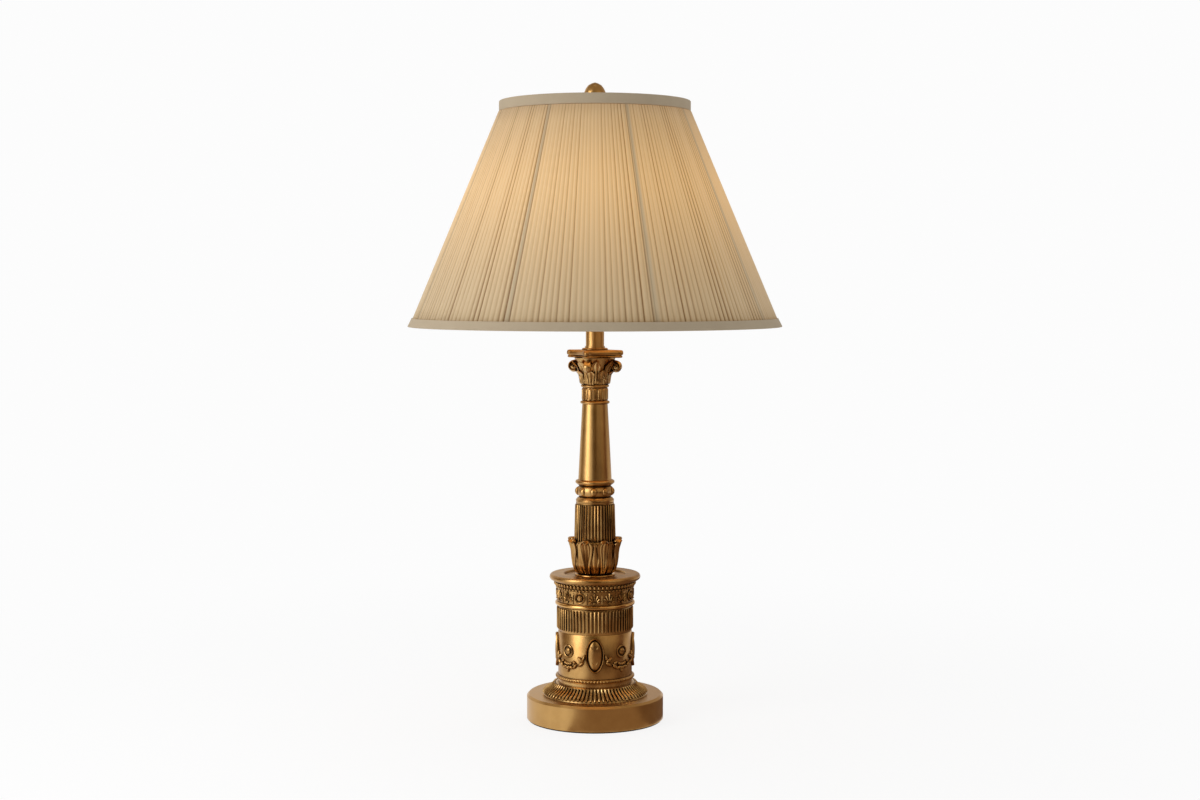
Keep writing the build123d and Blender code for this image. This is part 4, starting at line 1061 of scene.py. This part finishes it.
@dataclass
class Capital(Casting):
    """The bell, its leaves, its four corner volutes and the moulded plate on top."""

    turn: float = -18.0
    eye_radius: float = 24.3
    eye_lift: float = 19.0
    coil: float = 6.4
    leaf_count: int = 8
    abacus_corner: Point = (32.2, 7.0)
    abacus_waist: float = 20.4

    def build(self) -> None:
        """Makes the capital."""
        span = Span.of("capital")
        low = 0.3
        bell = [
            (14.4, low), (14.9, low + 6), (16.0, low + 13),
            (18.4, low + 20), (21.6, low + 25.6), (22.4, span.height),
        ]
        core = Form().turned([(SHAFT_BORE, low), *bell, (SHAFT_BORE, span.height)])
        line = following(bell)
        lower = Leaf(6.0, 9.4, 14.6, 2.6, 0.4, 0.9, 0.8, 2)
        upper = Leaf(5.0, 9.0, 23.6, 2.8, 0.0, 0.9, 0.8, 2)
        step = 360 / self.leaf_count
        tiers = [
            upper.form(line, self.turn + step / 2, low + 1).repeated(self.leaf_count),
            lower.form(line, self.turn, low + 0.2).repeated(self.leaf_count),
        ]
        self.build_abacus()
        scrolls = self.volute_form(low).placed(turned_by(self.turn)).repeated(4)
        self.cast(core.joined(*tiers, scrolls), "volute_capital", "capital", "chased_brass")

    def abacus_line(self, inset: float) -> list[Point]:
        """A quarter of the plate's outline, as (across, out) points from a rounded corner on.

        Args:
            inset: how far it is drawn in.

        Returns:
            The corner's round and the hollow side after it.
        """
        half = self.abacus_corner[1] / 2
        reach = self.abacus_corner[0] - inset - half
        hollow = self.abacus_waist - inset
        chord = (reach - half) * math.sqrt(0.5)
        sunk = (reach + half) * math.sqrt(0.5) - hollow
        radius = (chord**2 + sunk**2) / (2 * sunk)
        outwards, across = Vector((1, 1)).normalized(), Vector((1, -1)).normalized()
        side = []
        for step in range(1, 12):
            turn = math.asin(chord / radius) * (1 - step / 6)
            spot = outwards * (hollow + radius - radius * math.cos(turn)) - across * radius * math.sin(turn)
            side.append((spot.x, spot.y))
        return arc((0.0, reach), half, 180, 0, 8) + side

    def build_abacus(self) -> None:
        """A plate with hollow sides and rounded corners: a thick lip over a groove and a fillet."""
        span = Span.of("abacus")
        thick = 8.4
        profile = (
            (0.0, 2.2), (0.4, 1.2), (1.3, 0.8), (1.9, 1.1), (2.3, 1.8), (2.8, 1.7), (3.2, 0.6), (4.2, 0.0),
            (5.8, 0.0), (7.2, 0.3), (8.1, 1.0), (8.4, 2.2),
        )
        levels = [
            [
                turned_by(self.turn + 90 * quarter) @ Vector((across, -out, rise))
                for quarter in range(4)
                for across, out in self.abacus_line(inset)
            ]
            for rise, inset in profile
        ]
        boss = Form().turned([
            (0.0, thick - 1), (14.0, thick - 1),
            (14.0, span.height - 0.5), (13.5, span.height), (0.0, span.height),
        ])
        self.cast(Form().stacked(levels).joined(boss), "moulded_abacus", "abacus")

    def volute_form(self, low: float) -> Form:
        """One corner scroll at the front: a stalk from the bell that rolls up round an eye."""
        middle = Vector((0, -self.eye_radius, low + self.eye_lift))
        stalk = [(-9.5, -9.0), (-8.2, -2.0), (-6.6, 4.0), (-3.4, 6.4)]
        turns, steps = 1.3, 16
        spiral = [
            polar((self.coil - 0.8) * (1 - 0.55 * step / (turns * steps)), 90 - 360 * step / steps)
            for step in range(int(turns * steps) + 1)
        ]
        route = [middle + Vector((0, -out, rise)) for out, rise in stalk + spiral]
        sizes = []
        for number in range(len(route)):
            share = number / (len(route) - 1)
            sizes.append((mix(5.4, 7.6, ease(3 * share)) * (1 + 0.05 * share), mix(2.9, 2.0, share)))
        scroll = Form().tube(stations(route, sizes, SIDEWAYS))
        for size, rings in (((4.4, 1.5, 1.5), 6), ((2.3, self.coil, self.coil), 8)):
            scroll.ball(Matrix.Translation(middle) @ Matrix.Diagonal((*size, 1)), rings)
        return scroll


@dataclass
class Fitting:
    """The bulb; the harp, socket and switch keep their CAD forms."""

    finishes: Finishes
    threads: int = 6

    def build(self) -> None:
        """Makes the bulb's glass and its threaded base."""
        glass = Span.of("bulb_glass")
        middle = glass.high - BULB_RADIUS
        wall = 0.9
        neck = 13.6

        def skin(inset: float) -> list[Point]:
            """The glass's line at an inset, from its neck to its crown."""
            shoulder = [
                (neck - inset, glass.low), (neck + 0.3 - inset, glass.low + 5),
                (neck + 2.2 - inset, glass.low + 14), (neck + 5.2 - inset, glass.low + 22),
            ]
            return shoulder + arc((0, middle), BULB_RADIUS - inset, -42, 90, 24)

        outline = skin(0) + list(reversed(skin(wall)))
        piece(
            Form().turned(outline, 64), "blown_bulb_glass", self.finishes["frosted_glass"], "bulb",
            ["bulb_glass"],
        )
        base = Span.of("bulb_base")
        threaded = [(0.0, base.low), (10.0, base.low), (11.8, base.low + 4)]
        pitch = (base.height - 8) / self.threads
        for thread in range(self.threads):
            foot = base.low + 4 + pitch * thread
            threaded += [(12.1, foot + 0.15 * pitch), (13.0, foot + 0.5 * pitch),
                         (12.1, foot + 0.85 * pitch)]
        threaded += [(12.6, base.high - 3.4), (13.0, base.high), (0.0, base.high)]
        piece(
            Form().turned(threaded, 48), "threaded_bulb_base", self.finishes["zinc_steel"], "bulb",
            ["bulb_base"],
        )


@dataclass
class Shade:
    """The pleated cover, its lining and its two tapes, on the CAD model's wires."""

    finishes: Finishes
    pleats: int = 196
    points_a_pleat: int = 6
    rib_turn: float = 18.5
    ribs: int = 8
    top_line: float = 99.6
    bottom_line: float = 201.6
    bounds: Point = (0.0, 0.0)

    def build(self) -> None:
        """Makes the cloth pieces."""
        self.bounds = (Span.of("shade_trim_bottom").low, Span.of("shade_trim_top").high)
        self.build_cover()
        self.build_lining()
        self.build_tapes()

    def line(self, height: float) -> float:
        """The radius of the pleats' ridges at a height."""
        low, high = self.bounds
        return mix(self.bottom_line, self.top_line, (height - low) / (high - low))

    def from_wire(self, degrees: float) -> float:
        """How many degrees an angle is from the nearest rib's wire."""
        pitch = 360 / self.ribs
        return abs((degrees - self.rib_turn + pitch / 2) % pitch - pitch / 2)

    def wire_share(self, degrees: float, reach: float) -> float:
        """How much a rib's wire covers at an angle, 1 in its middle."""
        return math.exp(-((self.from_wire(degrees) / reach) ** 2))

    def clothe(self, form: Form, name: str, node: str, slot: str, fold: Callable[[float, float], float],
               low_radius: float, high_radius: float, wall: float) -> None:
        """Makes a sheet round the axis a cloth, with its folds and the wires' shadow painted on it.

        Args:
            form: the sheet, with its two ends on each other.
            name: the piece's name.
            node: the CAD node that it replaces.
            slot: the record's material slot, which names its finish too.
            fold: how deep in a fold a point lies, by angle and height.
            low_radius: the cone's radius at its foot.
            high_radius: and at its head.
            wall: how thick the cloth is.
        """
        bmesh.ops.remove_doubles(form.mesh, verts=form.mesh.verts, dist=SAME_POINT)
        fold_layer = form.mesh.verts.layers.float.new("fold")
        wire_layer = form.mesh.verts.layers.float.new("wire")
        for vertex in form.mesh.verts:
            degrees = math.degrees(math.atan2(vertex.co.x, -vertex.co.y))
            vertex[fold_layer] = fold(degrees, vertex.co.z)
            vertex[wire_layer] = self.wire_share(degrees, 0.9)
        made = piece(form, name, self.finishes[slot], "shade", [node], crease=70.0)
        cloth = made.modifiers.new("cloth", "SOLIDIFY")
        cloth.thickness, cloth.offset = wall * MM, -1.0
        slant = math.hypot(Span.of(node).height, low_radius - high_radius) * MM

    def build_cover(self) -> None:
        """Some two hundred fine knife pleats, none quite like the next."""
        node = Span.of("shade_cover")
        draws = random.Random(SEED)
        shifts = [draws.uniform(-0.30, 0.30) for pleat in range(self.pleats)]
        depths = [0.42 + 0.58 * draws.random() ** 1.6 for pleat in range(self.pleats)]
        leans = [draws.uniform(-0.35, 0.35) for pleat in range(self.pleats)]

        def fold(degrees: float, height: float) -> float:
            """How deep in a fold a point lies, 0 on a ridge and 1 in a valley."""
            up = (height - node.low) / node.height
            place = (degrees % 360) / 360 * self.pleats
            number = int(place) % self.pleats
            share = place - int(place)
            edge = 0.5 + shifts[number] * (0.5 + leans[number] * (up - 0.5))
            rise = share / edge if share < edge else (1 - share) / (1 - edge)
            # Beside each rib's wire a deep fold, whose dark colour is the wire's painted shadow.
            wire_fold_and_shadow = 0.8 * self.wire_share(degrees + 1.0, 0.34)
            return max((1 - rise) ** 1.6 * depths[number], wire_fold_and_shadow)

        def place(across: float, up: float) -> Vector:
            height = mix(node.low, node.high, up)
            degrees = 180 * across
            ridge = self.line(height)
            sunk = 0.0108 * ridge * (fold(degrees, height) * 0.8 + 0.2 * self.wire_share(degrees, 1.1))
            return around(ridge - sunk, degrees, height)

        form = Form().sheet(self.pleats * self.points_a_pleat, 12, place)
        self.clothe(
            form, "pleated_cover", "shade_cover", "shade_cloth", fold, self.line(node.low),
            self.line(node.high), 0.45,
        )

    def build_lining(self) -> None:
        """A smooth lining that draws in a little between the wires."""
        node = Span.of("shade_liner")
        lowest, highest = node.radius, node.radius - node.height * self.slope()

        # The material also darkens the lining where it draws in, as painted shade.
        def fold(degrees: float, height: float) -> float:
            """How far the cloth has drawn in, 0 at a wire."""
            return math.sin(math.pi * self.from_wire(degrees) * self.ribs / 360) ** 2

        def place(across: float, up: float) -> Vector:
            height = mix(node.low, node.high, up)
            degrees = 180 * across
            waist = math.sin(math.pi * up)
            radius = mix(lowest, highest, up) - 0.1
            return around(radius - 2.2 * fold(degrees, height) * waist, degrees, height)

        form = Form().sheet(192, 16, place)
        self.clothe(form, "shade_lining", "shade_liner", "shade_lining", fold, lowest, highest, 0.4)

    def slope(self) -> float:
        """How much the shade's radius shrinks for each millimetre of height."""
        low, high = self.bounds
        return (self.bottom_line - self.top_line) / (high - low)

    def build_tapes(self) -> None:
        """The folded tapes that finish the shade's two edges."""
        top = Span.of("shade_trim_top")
        bottom = Span.of("shade_trim_bottom")
        bend = 0.9
        outside = top.radius
        inside = outside - 8.4
        upper = [
            (outside - 1.0, top.low), (outside, top.low + 0.6),
            *arc((outside - bend, top.high - bend), bend, 0, 90, 5),
            *arc((inside + bend, top.high - bend), bend, 90, 180, 5),
            (inside, top.high - 1.9), (inside + 1.0, top.high - 1.9),
            (inside + 1.4, top.high - 1.2), (outside - 1.4, top.high - 1.2),
        ]
        lower_inside = bottom.radius - 3.8
        run = bottom.height * self.slope()
        lower = [
            (lower_inside, bottom.low + 0.4), (lower_inside + 0.5, bottom.low),
            *arc((bottom.radius - 0.8, bottom.low + 0.8), 0.8, -90, 0, 4),
            (bottom.radius - 0.5 * run, bottom.at(0.5)), (bottom.radius - run - 0.4, bottom.high),
            (bottom.radius - run - 1.6, bottom.high), (bottom.radius - 0.5 * run - 2.4, bottom.at(0.5)),
        ]
        for name, outline, node, radius, width in (
            ("top_tape", upper, "shade_trim_top", outside, 20),
            ("bottom_tape", lower, "shade_trim_bottom", bottom.radius, 14),
        ):
            made = piece(
                Form().turned(outline, 192), name, self.finishes["shade_trim"], "shade", [node]
            )


@dataclass
class Finial:
    """The plain acorn above the shade."""

    finishes: Finishes

    def build(self) -> None:
        """Makes the finial."""
        span = Span.of("finial")
        outline = [
            (3.2, 0), (8.0, 0), (8.0, 1.8), (6.4, 4), (7.2, 6), (12.0, 9.4),
            *arc((12.2, 11.0), 1.4, -70, 80, 6), (12.4, 13.4), (12.3, 16.6), (11.4, 20.4), (9.8, 24.0),
            (7.2, 27.4), (3.6, 29.5), (0.0, span.height), (0.0, 13), (3.2, 13),
        ]
        piece(
            Form().turned(outline), "acorn_finial", self.finishes["satin_brass"], "finial",
            ["finial"], span.low,
        )


# ---------------------------------------------------------------- the studio
@dataclass(frozen=True)
class Card:
    """A card that only the brass mirrors, bent round the lamp or lying flat.

    Each edge is a (distance, height) pair, and the card runs from start to end in degrees from the front.
    """

    name: str
    start: float
    end: float
    near: Point
    far: Point
    colour: Colour

    def build(self) -> None:
        """Makes the card."""

        def place(across: float, up: float) -> Vector:
            return around(
                mix(self.near[0], self.far[0], up), mix(self.start, self.end, (across + 1) / 2),
                mix(self.near[1], self.far[1], up),
            )

        card = shown(self.name, Form().sheet(24, 1, place).data(self.name))
        card.visible_camera = card.visible_diffuse = card.visible_shadow = card.visible_transmission = False
        graph = Graph.of_material(self.name)
        card.data.materials.append(graph.ended(graph.glowing("ShaderNodeEmission", self.colour, 1.0)))


@dataclass
class Studio:
    """The floor, the lights and the camera."""

    lens: float = 57.0
    distance: float = 2.071
    eye_height: float = 0.4844
    aside: float = 0.0055
    tilt: float = 3.67
    paper: float = 0.975
    reach: float = 1.15
    head: float = 1.5
    waist: float = 0.36

    def cards(self) -> list[Card]:
        """The cards that the brass mirrors: dark ones give its bands, warm ones the room's tone."""
        wall = [
            ("left", -122.0, -84.0, 0.0, self.head, (0.28, 0.20, 0.11)),
            ("front", -20.0, 48.0, 0.0, self.waist, (0.02, 0.003, 0.001)),
            ("front_high", -34.0, 14.0, self.waist, self.head, (0.16, 0.11, 0.03)),
            ("right", 48.0, 72.0, 0.0, self.waist, (0.15, 0.09, 0.05)),
            ("right_high", 14.0, 80.0, self.waist, self.head, (0.66, 0.56, 0.42)),
            ("far_right", 72.0, 98.0, 0.0, self.head, (0.11, 0.03, 0.01)),
            ("behind_right", 98.0, 182.0, 0.18, self.head, (0.46, 0.39, 0.32)),
            ("behind_left", 182.0, 232.0, 0.18, self.head, (0.74, 0.68, 0.58)),
        ]
        flat = [
            ("floor_front", -26.0, 60.0, 0.0006, (0.36, 0.26, 0.19)),
            ("floor_right", 60.0, 165.0, 0.0006, (0.19, 0.12, 0.08)),
            ("above", 0.0, 360.0, self.head, (0.34, 0.28, 0.20)),
        ]
        return [
            Card(f"card_{name}", start, end, (self.reach, low), (self.reach, high), (*tone, 1.0))
            for name, start, end, low, high, tone in wall
        ] + [
            Card(f"card_{name}", start, end, (0.079, height), (self.reach, height), (*tone, 1.0))
            for name, start, end, height, tone in flat
        ]

    def build(self) -> None:
        """Sets the studio up."""
        self.build_camera()
        self.build_world()
        self.build_floor()
        self.build_lights()
        for card in self.cards():
            card.build()
        bpy.context.scene.view_settings.view_transform = "Standard"

    def build_camera(self) -> None:
        """The camera, a little above the lamp's middle and looking slightly down."""
        camera = bpy.data.cameras.new("camera")
        camera.lens, camera.sensor_width = self.lens, 36.0
        made = shown("camera", camera)
        made.location = (self.aside, -self.distance, self.eye_height)
        made.rotation_euler = (math.radians(90 - self.tilt), 0, 0)
        bpy.context.scene.camera = made

    def seen(self, graph: Graph) -> Value:
        """1 for the rays that see the backdrop: the camera's, a mirror's and those through glass."""
        rays = [graph.node("ShaderNodeLightPath", output=name)
                for name in ("Is Camera Ray", "Is Glossy Ray", "Is Transmission Ray")]
        return graph.math("MAXIMUM", graph.math("MAXIMUM", rays[0], rays[1]), rays[2])

    def build_world(self) -> None:
        """White paper behind the lamp, and a softer, dimmer room in front of it."""
        world = bpy.data.worlds.new("studio")
        bpy.context.scene.world = world
        graph = Graph(world)
        direction = graph.node("ShaderNodeTexCoord", output="Generated")
        behind = graph.rise(graph.part(direction, "Y"), -0.35, 0.55)
        room = 0.32 + 0.60 * behind + 0.14 * graph.rise(graph.part(direction, "Z"), 0.2, 1.0)
        seen = self.seen(graph)
        strength = room * (1 - seen) + self.paper * seen
        graph.ended(graph.glowing("ShaderNodeBackground", WHITE, strength), "World")

    def build_floor(self) -> None:
        """A wide pale floor that keeps the lamp's shadow and turns into the backdrop farther out."""
        form = Form()
        bmesh.ops.create_grid(form.mesh, x_segments=1, y_segments=1, size=14.0)
        floor = shown("floor", form.data("floor"))
        graph = Graph.of_material("pale_floor")
        far = graph.rise(graph.distance((0, 0, 0)), 0.2, 1.1)
        matt = graph.node("ShaderNodeBsdfDiffuse", {}, {"Color": (0.86, 0.86, 0.86, 1)})
        lit = graph.glowing("ShaderNodeEmission", WHITE, 1 - (1 - self.paper) * far)
        share = (0.84 + 0.16 * far) * self.seen(graph)
        mixed = graph.node("ShaderNodeMixShader", {}, {0: share, 1: matt, 2: lit})
        floor.data.materials.append(graph.ended(mixed))

    def build_lights(self) -> None:
        """A large soft light from the left front, one from above and a weak one from the right."""
        target = Vector((0, 0, 0.34))
        for name, place, size, power in (
            ("key_light", (-0.96, -0.64, 0.78), (0.60, 1.3), 6.8),
            ("top_light", (0.1, -0.3, 2.4), (1.4, 1.4), 2.5),
            ("fill_light", (1.35, -0.80, 0.40), (0.8, 1.0), 2.4),
        ):
            lamp = bpy.data.lights.new(name, "AREA")
            lamp.shape, lamp.size, lamp.size_y, lamp.energy = "RECTANGLE", *size, power
            made = shown(name, lamp)
            made.location = place
            made.visible_glossy = name != "fill_light"
            made.rotation_euler = (target - Vector(place)).to_track_quat("-Z", "Y").to_euler()


def main() -> None:
    """Builds the studio and the lamp, and reports each piece."""
    logging.basicConfig(level=logging.INFO, format="%(message)s")
    Studio().build()
    globe = Span.of("bulb_glass")
    finishes = Finishes(Vector((0, 0, (globe.high - BULB_RADIUS) * MM)))
    for assembly in (
        Foot(finishes), Pedestal(finishes), Column(finishes), Capital(finishes), Fitting(finishes),
        Shade(finishes), Finial(finishes),
    ):
        log.info("building %s", type(assembly).__name__)
        assembly.build()
    finishes.dress()
    bpy.context.view_layer.update()


if __name__ == "__main__":
    main()
